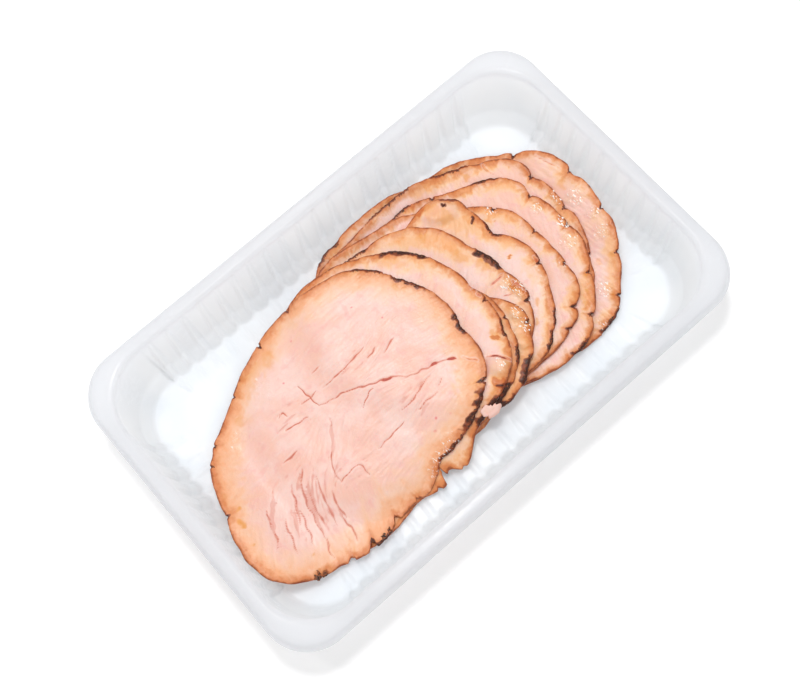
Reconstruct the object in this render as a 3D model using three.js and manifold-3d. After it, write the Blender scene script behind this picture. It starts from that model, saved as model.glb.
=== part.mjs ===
// A pack of sliced roast turkey ham: ten thin slices fanned along an open, fluted plastic tray.
// Millimetres, +Z up. The origin is the middle of the tray's underside, +X runs along the long
// side, and the slices climb from the low end of the fan at +X to the front slice at -X.
import * as THREE from "three";
import { mergeVertices } from "three/addons/utils/BufferGeometryUtils.js";
import Module from "manifold-3d";

// Tray: overall size, sheet and rim.
const TRAY_LENGTH = 230;
const TRAY_WIDTH = 144;
const TRAY_HEIGHT = 35;
const SHEET = 0.6; // thickness of the formed sheet
const RIM_RADIUS = 19.5; // outline corner, seen from above
const SKIRT_DROP = 5; // the rim's edge turns down by this much
const SKIRT_FLARE = 1.6;
const CREST_RADIUS = RIM_RADIUS - SKIRT_FLARE;
const FLANGE = 5.4; // flat sealing face
const MOUTH_RADIUS = 23; // corner of the opening inside the flange

// Tray walls: a smooth band under the rim, then flutes down to a stepped foot. Each level gives how
// far the flats between the flutes lie inside the mouth along X and Y, the corner's radius, and how
// wide the flutes are and how far they bulge outwards there.
const WALL_LEVELS = [
  { z: TRAY_HEIGHT - 2.5, inset: [0.7, 0.7], radius: 22.5, halfWidth: 1.2, bulge: 0.4 },
  { z: 6.7, inset: [3.5, 4.2], radius: 21.5, halfWidth: 2.65, bulge: 1.6 }, // outer edge of the ledge
  { z: 4.6, inset: [5.3, 6.0], radius: 19.5, halfWidth: 2.65, bulge: 1.6 }, // inner edge of the ledge
  { z: SHEET, inset: [6.9, 8.0], radius: 18.5, halfWidth: 2.65, bulge: 1.2 }, // floor
];
const FLUTES_LONG = 20;
const FLUTES_SHORT = 10;
const PITCH_LONG = 8.4;
const PITCH_SHORT = 7.9;
const CORNER_STEPS = 6;

// Slices: one thickness, one pitch in the pile and the way each drapes over those beneath.
const SLICE_THICKNESS = 1.4;
const PILE_PITCH = 1.75;
const FLOOR_GAP = 0.35;
const DRAPE_START = 3; // the slice above stays level this far past an edge
const DRAPE_END = 17; // and has come down by here
const LATTICE = 12; // side of the triangles that split every slice alike
const EDGE_STEP = 5.2; // length of an outline segment
const NOTCH_CLEARANCE = 0.03; // radians kept between a notch and the next outline point
const SHEET_MARGIN = 24; // how far the lattice reaches past a slice's mean radius
const CUTTER_FLOOR = -10;
const CUTTER_HEIGHT = 80;

// The pile is pushed up against the walls: how high its floor rises towards each of them.
const CLIMB = [
  { axis: 0, from: -78, to: -106, height: 12.5 },
  { axis: 0, from: 80, to: 106, height: 9 },
  { axis: 1, from: 42, to: 64, height: 6.5 },
  { axis: 1, from: -44, to: -64, height: 5 },
];

// Air under a slice where the fan is rumpled: [above slice number, x, y, radius, height].
const RUMPLES = [
  [3, 56, -24, 22, 0.9],
  [4, 47, 35, 17, 2.4],
  [4, 60, -14, 18, 1.1],
  [5, 46, 8, 20, 1.2],
  [6, 44, -14, 18, 1.3],
  [7, 30, -26, 16, 1.2],
  [8, 19, -31, 17, 2.2],
  [8, 21, 29, 24, 1.1],
  [9, -4, 22, 28, 0.9],
  [9, -62, -26, 34, 1.6],
];

// Outlines of the slices, from the lowest up: a mean radius with waves round its middle, each [crests
// in a turn, height, direction of a crest in degrees], so 2 makes the oval and 3 the egg, and the
// notches that the roasting net left, each [direction in degrees, depth, half width].
const SLICES = [
  {
    name: "slice_01",
    middle: [40.5, 7.6],
    mean: 57.5,
    waves: [
      [2, 7.7, -19], [3, 2.1, 35], [4, 1.1, 35], [6, 0.7, 14], [7, 0.4, -9], [9, 0.7, 18],
    ],
    notches: [
      [-63, 1.2, 3], [-45, 1.2, 3], [-33, 1.8, 2.4], [-15, 2.4, 2.4], [4, 3, 3],
      [30, 2.4, 2.6], [125, 2.4, 2.2],
    ],
  },
  {
    name: "slice_02",
    middle: [36, 9.4],
    mean: 52.7,
    waves: [
      [2, 5.2, -13], [3, 2.4, 35], [4, 1, 43], [5, 0.3, 15], [6, 1, 24], [7, 0.6, -16],
      [9, 0.5, -13],
    ],
    notches: [
      [-32, 1.2, 2.4], [-6, 2.2, 2], [15, 3.4, 3.2], [41, 1.6, 3],
    ],
  },
  {
    name: "slice_03",
    middle: [29.5, 3.6],
    mean: 52.9,
    waves: [
      [2, 6.7, -13], [3, 1.6, 49], [4, 1.3, 30], [5, 0.5, 16], [7, 0.7, -23], [8, 0.5, -18],
      [9, 0.5, -10],
    ],
    notches: [
      [-70, 1.8, 2.6], [-50, 3.6, 2], [-29, 2.4, 2.8], [-7, 1.8, 2.2], [16, 3.2, 3.6],
    ],
  },
  {
    name: "slice_04",
    middle: [17.8, 4.2],
    mean: 51.2,
    waves: [
      [2, 6.7, -16], [3, 1.3, -27], [4, 0.6, -45], [5, 0.5, 34], [6, 0.7, 15], [7, 0.6, 15],
      [8, 0.4, 19],
    ],
    notches: [
      [-49, 1.4, 2.4], [-38, 3.6, 3], [-20, 1.6, 2], [1, 1.8, 1.8], [23, 1, 2],
    ],
  },
  {
    name: "slice_05",
    middle: [8.5, 2.3],
    mean: 50.3,
    waves: [
      [2, 9, -2], [3, 1.8, 51], [4, 1.6, 39], [5, 1.3, -33], [6, 0.9, -19], [7, 1.1, -9],
      [8, 1, -4], [9, 0.8, 1],
    ],
    notches: [
      [-43, 1.8, 4], [-12, 1, 2.4], [14, 3, 3.6], [29, 1, 3], [39, 3, 2],
    ],
  },
  {
    name: "slice_06",
    middle: [-7.2, 2.6],
    mean: 52.7,
    waves: [
      [2, 6.9, -1], [3, 0.8, -34], [4, 0.7, 30], [5, 1.5, -23], [6, 0.8, -21], [7, 0.3, -18],
    ],
    notches: [
      [-21, 2, 3], [-4, 2.6, 3.2], [15, 1, 2.6], [37, 2, 1.6], [64, 0.9, 2],
    ],
  },
  {
    name: "slice_07",
    middle: [-9.7, -2.2],
    mean: 44.5,
    waves: [
      [2, 6.9, -26], [3, 3.7, -39], [4, 1.6, -33], [5, 1.1, -29], [6, 0.6, -26], [7, 0.5, -16],
      [8, 0.6, -14], [9, 1, -16],
    ],
    notches: [
      [-55, 1.6, 3], [-43, 1.4, 3], [-28, 2.4, 3],
    ],
  },
  {
    name: "slice_08",
    middle: [-13.7, -1.7],
    mean: 46,
    waves: [
      [2, 5.6, -17], [3, 2.2, -41], [4, 0.5, -33], [5, 0.4, -20], [9, 0.4, -1],
    ],
    notches: [
      [-53, 1.4, 3], [-42, 1.2, 3], [-24, 1.8, 2.6],
    ],
  },
  {
    name: "slice_09",
    middle: [-25.5, -3.9],
    mean: 55.1,
    waves: [
      [2, 8.1, 16], [3, 1.8, -31], [4, 0.6, 39], [5, 0.9, -11], [6, 0.9, -23], [7, 1, 22],
      [8, 0.5, 8], [9, 0.5, -5],
    ],
    notches: [
      [-85, 6.5, 4.6], [-17, 2.2, 3], [5, 2.2, 2.6],
    ],
  },
  {
    name: "slice_10",
    middle: [-40.5, -3.9],
    mean: 55.3,
    waves: [
      [2, 9.5, 16], [3, 2.6, -30], [4, 0.8, 41], [5, 0.7, -15], [6, 1.1, -27], [7, 0.4, 0],
      [8, 0.4, 19], [9, 0.7, 5], [11, 0.5, 15], [12, 0.3, 8],
    ],
    notches: [
      [-179, 2.4, 2.6], [-131, 1.2, 2.4], [-116, 1.6, 2.5], [-104, 1.4, 3], [-65, 1.6, 4],
      [-5, 2, 4], [76, 1, 2], [155, 1.8, 2.2],
    ],
  },
];

// A torn scrap of pale meat, on the ninth slice's near edge and just clear of the front slice.
const SCRAP = {
  name: "scrap",
  middle: [5.3, -42],
  mean: 3.1,
  waves: [[2, 1.1, -26], [3, 0.4, -11]],
  notches: [],
};

const wasm = await Module();
wasm.setup();

const toSolid = (geometry) => {
  const bare = geometry.clone();
  bare.deleteAttribute("normal");
  bare.deleteAttribute("uv");
  const merged = mergeVertices(bare, 1e-4);
  return new wasm.Manifold(
    new wasm.Mesh({
      numProp: 3,
      vertProperties: new Float32Array(merged.attributes.position.array),
      triVerts: new Uint32Array(merged.index.array),
    }),
  );
};

const toGeometry = (solid) => {
  const mesh = solid.getMesh();
  const geometry = new THREE.BufferGeometry();
  geometry.setAttribute("position", new THREE.BufferAttribute(mesh.vertProperties, 3));
  geometry.setIndex(new THREE.BufferAttribute(mesh.triVerts, 1));
  geometry.computeVertexNormals();
  return geometry;
};

const meshOf = (positions, triangles) => {
  const geometry = new THREE.BufferGeometry();
  geometry.setAttribute("position", new THREE.Float32BufferAttribute(positions, 3));
  geometry.setIndex(triangles);
  geometry.computeVertexNormals();
  return geometry;
};

// --- Tray -------------------------------------------------------------------------------------

// Every loop round the tray runs counter-clockwise. A point is [x, y, z, station], and stations say
// which points of two loops face each other: side k holds 2k to 2k + 1, its corner 2k + 1 to 2k + 2.
const SIDES = [
  { flutes: FLUTES_SHORT, pitch: PITCH_SHORT, spot: (halfX, halfY, s) => [halfX, s] },
  { flutes: FLUTES_LONG, pitch: PITCH_LONG, spot: (halfX, halfY, s) => [-s, halfY] },
  { flutes: FLUTES_SHORT, pitch: PITCH_SHORT, spot: (halfX, halfY, s) => [-halfX, -s] },
  { flutes: FLUTES_LONG, pitch: PITCH_LONG, spot: (halfX, halfY, s) => [s, -halfY] },
];

const cornerPoints = (side, halfX, halfY, radius, z) => {
  const signX = side === 0 || side === 3 ? 1 : -1;
  const signY = side < 2 ? 1 : -1;
  const points = [];
  for (let i = 0; i <= CORNER_STEPS; i++) {
    const turn = ((side + i / CORNER_STEPS) * Math.PI) / 2;
    const x = signX * (halfX - radius) + radius * Math.cos(turn);
    const y = signY * (halfY - radius) + radius * Math.sin(turn);
    points.push([x, y, z, 2 * side + 1 + (i + 1) / (CORNER_STEPS + 2)]);
  }
  return points;
};

// Four straight sides and four round corners.
const plainLoop = (halfX, halfY, radius, z) =>
  SIDES.flatMap((_, side) => cornerPoints(side, halfX, halfY, radius, z));

// The same, with a point on each side at every flat between two flutes.
const ruledLoop = (halfX, halfY, radius, z) =>
  SIDES.flatMap(({ flutes, pitch, spot }, side) => {
    const points = [];
    for (let i = 0; i <= flutes; i++) {
      const share = i === 0 ? 0 : i === flutes ? 1 : (4 * i + 0.5) / (4 * flutes + 1);
      points.push([...spot(halfX, halfY, (i - flutes / 2) * pitch), z, 2 * side + share]);
    }
    return [...points, ...cornerPoints(side, halfX, halfY, radius, z)];
  });

// The same, with flutes that bulge outwards; the smooth corners lie as far out as the flutes.
const flutedLoop = (halfX, halfY, { radius, halfWidth, bulge }, z) =>
  SIDES.flatMap(({ flutes, pitch, spot }, side) => {
    const flat = (s) => [...spot(halfX, halfY, s), z];
    const out = (s) => [...spot(halfX + bulge, halfY + bulge, s), z];
    const points = [flat((-flutes / 2) * pitch)];
    for (let i = 0; i < flutes; i++) {
      const s = (i - (flutes - 1) / 2) * pitch;
      points.push(flat(s - halfWidth), out(s - halfWidth / 2));
      points.push(out(s + halfWidth / 2), flat(s + halfWidth));
    }
    points.push(flat((flutes / 2) * pitch));
    points.forEach((point, i) => point.push(2 * side + i / (points.length - 1)));
    return [...points, ...cornerPoints(side, halfX + bulge, halfY + bulge, radius, z)];
  });

// Triangles between two loops: each step moves on along the one whose next station comes first.
const strip = (outer, inner, outerStart, innerStart, triangles) => {
  const nextStation = (loop, i) => (i + 1 < loop.length ? loop[i + 1][3] : loop[0][3] + 8);
  let i = 0;
  let j = 0;
  while (i < outer.length || j < inner.length) {
    const a = outerStart + (i % outer.length);
    const b = innerStart + (j % inner.length);
    const outerFirst = nextStation(outer, i) <= nextStation(inner, j);
    if (i < outer.length && (j >= inner.length || outerFirst)) {
      i++;
      triangles.push(a, outerStart + (i % outer.length), b);
    } else {
      j++;
      triangles.push(a, innerStart + (j % inner.length), b);
    }
  }
};

const capLoop = (loop, start, faceUp, triangles) => {
  const contour = loop.map(([x, y]) => new THREE.Vector2(x, y));
  for (const [a, b, c] of THREE.ShapeUtils.triangulateShape(contour, [])) {
    if (faceUp) triangles.push(start + a, start + b, start + c);
    else triangles.push(start + a, start + c, start + b);
  }
};

const makeTray = () => {
  const edgeX = TRAY_LENGTH / 2;
  const edgeY = TRAY_WIDTH / 2;
  const crestX = edgeX - SKIRT_FLARE;
  const crestY = edgeY - SKIRT_FLARE;
  const mouthX = crestX - FLANGE;
  const mouthY = crestY - FLANGE;

  // One face of the sheet, from the skirt's edge in to the floor: shift 0 is the upper face, and
  // shift SHEET the lower one, which lies that far outside the walls and below the rim and floor.
  const face = (shift) => [
    plainLoop(edgeX - shift, edgeY - shift, RIM_RADIUS - shift, TRAY_HEIGHT - SKIRT_DROP),
    plainLoop(crestX - shift, crestY - shift, CREST_RADIUS - shift, TRAY_HEIGHT - shift),
    ruledLoop(mouthX + shift, mouthY + shift, MOUTH_RADIUS + shift, TRAY_HEIGHT - shift),
    ...WALL_LEVELS.map((level) => {
      const halfX = mouthX - level.inset[0] + shift;
      const halfY = mouthY - level.inset[1] + shift;
      return flutedLoop(halfX, halfY, level, level.z - shift);
    }),
  ];

  const positions = [];
  const triangles = [];
  const addFace = (loops) =>
    loops.map((loop) => {
      const start = positions.length / 3;
      loop.forEach(([x, y, z]) => positions.push(x, y, z));
      return start;
    });
  const upper = face(0);
  const lower = face(SHEET);
  const upperStarts = addFace(upper);
  const lowerStarts = addFace(lower);
  for (let k = 0; k + 1 < upper.length; k++) {
    strip(upper[k], upper[k + 1], upperStarts[k], upperStarts[k + 1], triangles);
    strip(lower[k + 1], lower[k], lowerStarts[k + 1], lowerStarts[k], triangles);
  }
  const last = upper.length - 1;
  capLoop(upper[last], upperStarts[last], true, triangles);
  capLoop(lower[last], lowerStarts[last], false, triangles);
  strip(lower[0], upper[0], lowerStarts[0], upperStarts[0], triangles);
  return meshOf(positions, triangles);
};

// --- Slices -----------------------------------------------------------------------------------

const easing = (from, to, value) => {
  const t = Math.min(Math.max((value - from) / (to - from), 0), 1);
  return t * t * (3 - 2 * t);
};

const radians = (degrees) => (degrees * Math.PI) / 180;

const smoothRadius = ({ mean, waves }, turn) =>
  waves.reduce(
    (radius, [crests, height, direction]) =>
      radius + height * Math.cos(crests * (turn - radians(direction))),
    mean,
  );

// How much of the pitch a slice adds under the one above it: all of it on the slice, and none
// once the slice above has drooped past its edge.
const support = (slice, x, y) => {
  const dx = x - slice.middle[0];
  const dy = y - slice.middle[1];
  const beyond = Math.hypot(dx, dy) - smoothRadius(slice, Math.atan2(dy, dx));
  return 1 - easing(DRAPE_START, DRAPE_END, beyond);
};

// Height of the underside of the slice with this many slices beneath it.
const undersideHeight = (count, x, y) => {
  let z = SHEET + FLOOR_GAP;
  for (const { axis, from, to, height } of CLIMB) z += height * easing(from, to, [x, y][axis]);
  for (let i = 0; i < count; i++) z += PILE_PITCH * support(SLICES[i], x, y);
  for (const [above, cx, cy, radius, height] of RUMPLES) {
    if (count >= above) z += height * (1 - easing(0, radius, Math.hypot(x - cx, y - cy)));
  }
  return z;
};

// The outline as corner points: even steps, with three points more at each notch.
const outline = (slice) => {
  const turns = [];
  const count = Math.max(12, Math.round((2 * Math.PI * slice.mean) / EDGE_STEP));
  const apart = (a, b) => Math.abs(Math.atan2(Math.sin(a - b), Math.cos(a - b)));
  const notches = slice.notches.map(([degrees, depth, halfWidth]) => {
    const turn = radians(degrees);
    const half = halfWidth / smoothRadius(slice, turn);
    return { turn, depth, half };
  });
  for (let i = 0; i < count; i++) {
    const turn = -Math.PI + ((i + 0.5) / count) * 2 * Math.PI;
    if (notches.every((notch) => apart(turn, notch.turn) > notch.half + NOTCH_CLEARANCE)) {
      turns.push({ turn, cut: 0 });
    }
  }
  for (const { turn, depth, half } of notches) {
    turns.push({ turn: turn - half, cut: 0 });
    turns.push({ turn, cut: depth });
    turns.push({ turn: turn + half, cut: 0 });
  }
  const whole = (turn) => (turn < -Math.PI ? turn + 2 * Math.PI : turn);
  turns.sort((a, b) => whole(a.turn) - whole(b.turn));
  return turns.map(({ turn, cut }) => {
    const radius = smoothRadius(slice, turn) - cut;
    const x = slice.middle[0] + radius * Math.cos(turn);
    const y = slice.middle[1] + radius * Math.sin(turn);
    return new THREE.Vector2(x, y);
  });
};

// A wavy sheet over the whole neighbourhood of a slice. All sheets share one lattice of
// triangles, so that those above and below each other stay the same distance apart.
const sheetOver = (slice, count) => {
  const reach = slice.mean + SHEET_MARGIN;
  const stepY = (LATTICE * Math.sqrt(3)) / 2;
  const rowFrom = Math.floor((slice.middle[1] - reach) / stepY);
  const rowTo = Math.ceil((slice.middle[1] + reach) / stepY);
  const columnFrom = Math.floor((slice.middle[0] - reach) / LATTICE);
  const columnTo = Math.ceil((slice.middle[0] + reach) / LATTICE);
  const columns = columnTo - columnFrom + 1;
  const rows = rowTo - rowFrom + 1;
  const positions = [];
  for (const lift of [0, SLICE_THICKNESS]) {
    for (let r = rowFrom; r <= rowTo; r++) {
      for (let c = columnFrom; c <= columnTo; c++) {
        const x = (c + (r % 2 === 0 ? 0 : 0.5)) * LATTICE;
        const y = r * stepY;
        positions.push(x, y, undersideHeight(count, x, y) + lift);
      }
    }
  }
  const triangles = [];
  const layer = columns * rows;
  const at = (c, r) => r * columns + c;
  const both = (a, b, c) => triangles.push(a, c, b, layer + a, layer + b, layer + c);
  for (let r = 0; r + 1 < rows; r++) {
    const even = (r + rowFrom) % 2 === 0;
    for (let c = 0; c + 1 < columns; c++) {
      if (even) {
        both(at(c, r), at(c + 1, r), at(c, r + 1));
        both(at(c + 1, r), at(c + 1, r + 1), at(c, r + 1));
      } else {
        both(at(c, r), at(c + 1, r), at(c + 1, r + 1));
        both(at(c, r), at(c + 1, r + 1), at(c, r + 1));
      }
    }
  }
  const wall = (a, b) => triangles.push(a, b, layer + b, a, layer + b, layer + a);
  for (let c = 0; c + 1 < columns; c++) {
    wall(at(c, 0), at(c + 1, 0));
    wall(at(c + 1, rows - 1), at(c, rows - 1));
  }
  for (let r = 0; r + 1 < rows; r++) {
    wall(at(0, r + 1), at(0, r));
    wall(at(columns - 1, r), at(columns - 1, r + 1));
  }
  return meshOf(positions, triangles);
};

// A slice is its sheet, cut to the slice's outline.
const makeSlice = (slice, count) => {
  const cutter = new THREE.ExtrudeGeometry(new THREE.Shape(outline(slice)), {
    depth: CUTTER_HEIGHT,
    bevelEnabled: false,
  });
  cutter.translate(0, 0, CUTTER_FLOOR);
  return toGeometry(toSolid(sheetOver(slice, count)).intersect(toSolid(cutter)));
};

// --- The pack ---------------------------------------------------------------------------------

const frostedPlastic = new THREE.MeshStandardMaterial({
  color: 0xeef0f3,
  roughness: 0.28,
  metalness: 0,
});
const meat = new THREE.MeshStandardMaterial({ color: 0xf2c3ae, roughness: 0.45, metalness: 0 });
const paleMeat = new THREE.MeshStandardMaterial({ color: 0xf9dcd6, roughness: 0.4, metalness: 0 });

const pack = new THREE.Group();
const add = (name, geometry, material) => {
  const mesh = new THREE.Mesh(geometry, material.clone());
  mesh.name = name;
  pack.add(mesh);
};

add("tray", makeTray(), frostedPlastic);
SLICES.forEach((slice, count) => add(slice.name, makeSlice(slice, count), meat));
add(SCRAP.name, makeSlice(SCRAP, SLICES.length - 1), paleMeat);

export default pack;
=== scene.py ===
"""A tray of sliced roast turkey ham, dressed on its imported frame.

The slices take their outlines from the frame's own solids, and the tray has the same sizes as its
solid, so each piece stays where its solid is. Lengths are millimetres in this file and become
metres where a mesh is written. Materials, lights and the camera are in metres throughout.
"""

import logging
import math
from dataclasses import dataclass
from enum import Enum

import bpy
import numpy as np
from mathutils import Matrix


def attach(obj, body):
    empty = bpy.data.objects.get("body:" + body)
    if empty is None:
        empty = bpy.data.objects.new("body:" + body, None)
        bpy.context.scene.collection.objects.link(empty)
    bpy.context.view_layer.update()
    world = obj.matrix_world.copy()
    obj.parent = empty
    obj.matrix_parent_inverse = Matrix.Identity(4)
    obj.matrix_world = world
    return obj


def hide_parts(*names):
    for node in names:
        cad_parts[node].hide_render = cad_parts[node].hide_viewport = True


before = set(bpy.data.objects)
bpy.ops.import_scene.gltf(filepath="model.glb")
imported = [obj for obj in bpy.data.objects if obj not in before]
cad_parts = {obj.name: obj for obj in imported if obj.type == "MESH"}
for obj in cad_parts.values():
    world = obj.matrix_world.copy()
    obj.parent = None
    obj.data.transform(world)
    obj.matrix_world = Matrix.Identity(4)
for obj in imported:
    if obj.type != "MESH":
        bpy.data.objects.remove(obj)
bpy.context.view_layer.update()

log = logging.getLogger("ham_pack")
MM = 0.001
REACH = 2.5  # how far from a crack its distance is kept, in millimetres
STRAY = 0.26  # how far a crack strays from the line that it is drawn along
STRAY_LENGTH = 5.5  # wavelength of that
THINNING = 4.2  # a crack thins out over one part in so many of its length, at both ends
Colour = tuple[float, float, float]
Point = tuple[float, float]
Spot = tuple[float, float, float]


class Slot(Enum):
    """Names of the material slots."""

    TRAY = "tray_plastic"
    HAM = "ham_meat"
    PALE = "pale_meat"


class Mark(Enum):
    """Names of the values that a slice's surface carries for its material."""

    RIM = "rim_mm"
    CHAR = "char"
    CRACK = "crack_mm"
    DEPTH = "crack_depth"
    TOAST = "toast"
    WET = "wet"
    BLUSH = "blush"
    FIBRE = "fibre"
    GOLD = "gold"


def screen(red: int, green: int, blue: int) -> Colour:
    """Turns a colour as seen on a screen, 0 to 255, into linear light."""
    values = [channel / 255 for channel in (red, green, blue)]
    return tuple(v / 12.92 if v <= 0.04045 else ((v + 0.055) / 1.055) ** 2.4 for v in values)


def easing(start: float, end: float, value: np.ndarray) -> np.ndarray:
    """Smooth step from 0 at start to 1 at end.

    Args:
        start: Value where the step begins.
        end: Value where it is complete, above or below start.
        value: Numbers to ease.

    Returns:
        The eased numbers, 0 to 1.
    """
    t = np.clip((value - start) / (end - start), 0.0, 1.0)
    return t * t * (3.0 - 2.0 * t)


def ripple(x: np.ndarray, y: np.ndarray, length: float, seed: int, waves: int = 14) -> np.ndarray:
    """Smooth seeded unevenness, made of crossing waves.

    Args:
        x: Places along X.
        y: Places along Y.
        length: Typical wavelength.
        seed: Fixed seed of the wave directions.
        waves: How many waves cross.

    Returns:
        Values of about -1 to 1.
    """
    draw = np.random.default_rng(seed)
    total = np.zeros_like(x, dtype=float)
    for _ in range(waves):
        turn, phase = draw.uniform(0, 2 * math.pi, 2)
        pace = 2 * math.pi / (length * draw.uniform(0.65, 1.6))
        total += np.sin(pace * (x * math.cos(turn) + y * math.sin(turn)) + phase)
    return total / math.sqrt(waves)


def speckle(x: np.ndarray, y: np.ndarray, cell: float, seed: int) -> np.ndarray:
    """Seeded unevenness that is independent from one cell of a square lattice to the next.

    Args:
        x: Places along X.
        y: Places along Y.
        cell: Width of a cell.
        seed: Fixed seed of the values.

    Returns:
        Values from -1 to 1, smooth between the cells.
    """
    size = 256
    grid = np.random.default_rng(seed).uniform(-1, 1, (size, size))
    column, row = np.floor(x / cell).astype(int), np.floor(y / cell).astype(int)
    u, v = easing(0, 1, x / cell - column), easing(0, 1, y / cell - row)
    left, right = column % size, (column + 1) % size
    low, high = row % size, (row + 1) % size
    below = grid[left, low] * (1 - u) + grid[right, low] * u
    above = grid[left, high] * (1 - u) + grid[right, high] * u
    return below * (1 - v) + above * v


def circular_blur(values: np.ndarray, sigma: float) -> np.ndarray:
    """Blurs a closed row of values.

    Args:
        values: The row, whose end meets its start.
        sigma: Width of the blur, in entries.

    Returns:
        The blurred row.
    """
    count = len(values)
    pace = np.fft.rfftfreq(count) * count
    kernel = np.exp(-0.5 * (2 * math.pi * pace * sigma / count) ** 2)
    return np.fft.irfft(np.fft.rfft(values) * kernel, count)


def each(kind: type, *rows: tuple) -> tuple:
    """Makes one of a kind from each row of its values."""
    return tuple(kind(*row) for row in rows)


class Wire:
    """A node's output socket that Python's operators work on."""

    def __init__(self, bench: "Bench", socket: bpy.types.NodeSocket) -> None:
        """Wraps a socket of a bench's tree."""
        self.bench = bench
        self.socket = socket

    def __add__(self, other: "Wire | float") -> "Wire":
        """Adds."""
        return self.bench.math("ADD", self, other)

    def __sub__(self, other: "Wire | float") -> "Wire":
        """Subtracts."""
        return self.bench.math("SUBTRACT", self, other)

    def __mul__(self, other: "Wire | float") -> "Wire":
        """Multiplies."""
        return self.bench.math("MULTIPLY", self, other)

    def __truediv__(self, other: "Wire | float") -> "Wire":
        """Divides."""
        return self.bench.math("DIVIDE", self, other)

    def __rsub__(self, other: float) -> "Wire":
        """Subtracts from a number."""
        return self.bench.math("SUBTRACT", other, self)

    __radd__ = __add__
    __rmul__ = __mul__

    def clamped(self) -> "Wire":
        """Keeps the value from 0 to 1."""
        return self.bench.node("ShaderNodeClamp", inputs={"Value": self})


class Bench:
    """Makes and joins the nodes of one tree."""

    def __init__(self, tree: bpy.types.NodeTree) -> None:
        """Starts on a tree, which it empties."""
        self.tree = tree
        tree.nodes.clear()

    def node(
        self,
        kind: str,
        settings: dict | None = None,
        inputs: dict | None = None,
        output: int | str = 0,
    ) -> Wire:
        """Adds any node.

        Args:
            kind: The node's type.
            settings: Its properties, set first.
            inputs: Values or wires for its sockets, by name or number.
            output: The socket that is handed back, by name or number.

        Returns:
            The output as a wire.
        """
        made = self.tree.nodes.new(kind)
        for name, value in (settings or {}).items():
            setattr(made, name, value)
        for name, value in (inputs or {}).items():
            if isinstance(value, Wire):
                self.tree.links.new(value.socket, made.inputs[name])
            else:
                made.inputs[name].default_value = value
        return Wire(self, made.outputs[output] if len(made.outputs) else None)

    def math(self, operation: str, *values: Wire | float) -> Wire:
        """Adds a Math node on one to three values."""
        return self.node("ShaderNodeMath", {"operation": operation}, dict(enumerate(values)))

    def span(
        self,
        value: Wire,
        start: Wire | float,
        end: Wire | float,
        low: float = 0.0,
        high: float = 1.0,
    ) -> Wire:
        """Maps a value smoothly, and holds it beyond the ends.

        Args:
            value: The value.
            start: Where the step begins.
            end: Where it is complete.
            low: What start becomes.
            high: What end becomes.

        Returns:
            The mapped value.
        """
        ends = {"From Min": start, "From Max": end, "To Min": low, "To Max": high}
        smooth = {"interpolation_type": "SMOOTHSTEP"}
        return self.node("ShaderNodeMapRange", smooth, {"Value": value, **ends})

    def mix(self, share: Wire | float, first: Wire | Colour, second: Wire | Colour) -> Wire:
        """Mixes two colours.

        Args:
            share: The second colour's share.
            first: The first colour.
            second: The second colour.

        Returns:
            The mixture.
        """
        ends = [c if isinstance(c, Wire) else (*c, 1.0) for c in (first, second)]
        inputs = {0: share, 6: ends[0], 7: ends[1]}
        return self.node("ShaderNodeMix", {"data_type": "RGBA"}, inputs, output=2)

    def places(self, turn: float = 0.0, stretch: Spot = (1.0, 1.0, 1.0)) -> Wire:
        """Object coordinates, turned and stretched.

        Args:
            turn: The turn about Z, in degrees.
            stretch: The factor along each axis.

        Returns:
            The coordinates.
        """
        seat = self.node("ShaderNodeTexCoord", output="Object")
        inputs = {"Vector": seat, "Rotation": (0, 0, math.radians(turn)), "Scale": stretch}
        return self.node("ShaderNodeMapping", inputs=inputs)

    def noise(self, places: Wire, scale: float, detail: float = 3.0, twist: float = 0.0) -> Wire:
        """A noise's value.

        Args:
            places: Where it is taken.
            scale: Its features a metre.
            detail: How many finer layers it has.
            twist: How far it is distorted.

        Returns:
            Values of about 0 to 1.
        """
        inputs = {"Vector": places, "Scale": scale, "Detail": detail, "Distortion": twist}
        return self.node("ShaderNodeTexNoise", inputs=inputs)

    def vector(self, operation: str, first: Wire, second: Wire | Spot) -> Wire:
        """Adds a Vector Math node; SCALE takes a number for its second value."""
        inputs = {0: first, "Scale" if operation == "SCALE" else 1: second}
        return self.node("ShaderNodeVectorMath", {"operation": operation}, inputs)

    def mark(self, mark: Mark) -> Wire:
        """A value that the mesh carries to its material."""
        return self.node("ShaderNodeAttribute", {"attribute_name": mark.value}, output="Fac")

    def carried(self, name: str, kind: str = "FLOAT") -> Wire:
        """A value that the mesh carries to its Geometry Nodes."""
        return self.node("GeometryNodeInputNamedAttribute", {"data_type": kind}, {"Name": name})

    def surface(
        self, colour: Wire, gloss: Wire | float, inputs: dict, settings: dict | None = None
    ) -> Wire:
        """Adds the main shader."""
        sockets = {"Base Color": colour, "Roughness": gloss, **inputs}
        return self.node("ShaderNodeBsdfPrincipled", settings, sockets)

    def bump(self, height: Wire, strength: float, distance: float) -> Wire:
        """Fine relief, over a distance in metres."""
        inputs = {"Strength": strength, "Distance": distance, "Height": height}
        return self.node("ShaderNodeBump", inputs=inputs)


def new_material(name: str) -> tuple[bpy.types.Material, Bench]:
    """Makes an empty node material.

    Args:
        name: The material's name.

    Returns:
        The material and the bench for its tree.
    """
    material = bpy.data.materials.new(name)
    material.use_nodes = True
    return material, Bench(material.node_tree)


def finish_surface(bench: Bench, shader: Wire) -> None:
    """Joins a shader to the material's output."""
    bench.node("ShaderNodeOutputMaterial", inputs={"Surface": shader})


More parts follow.
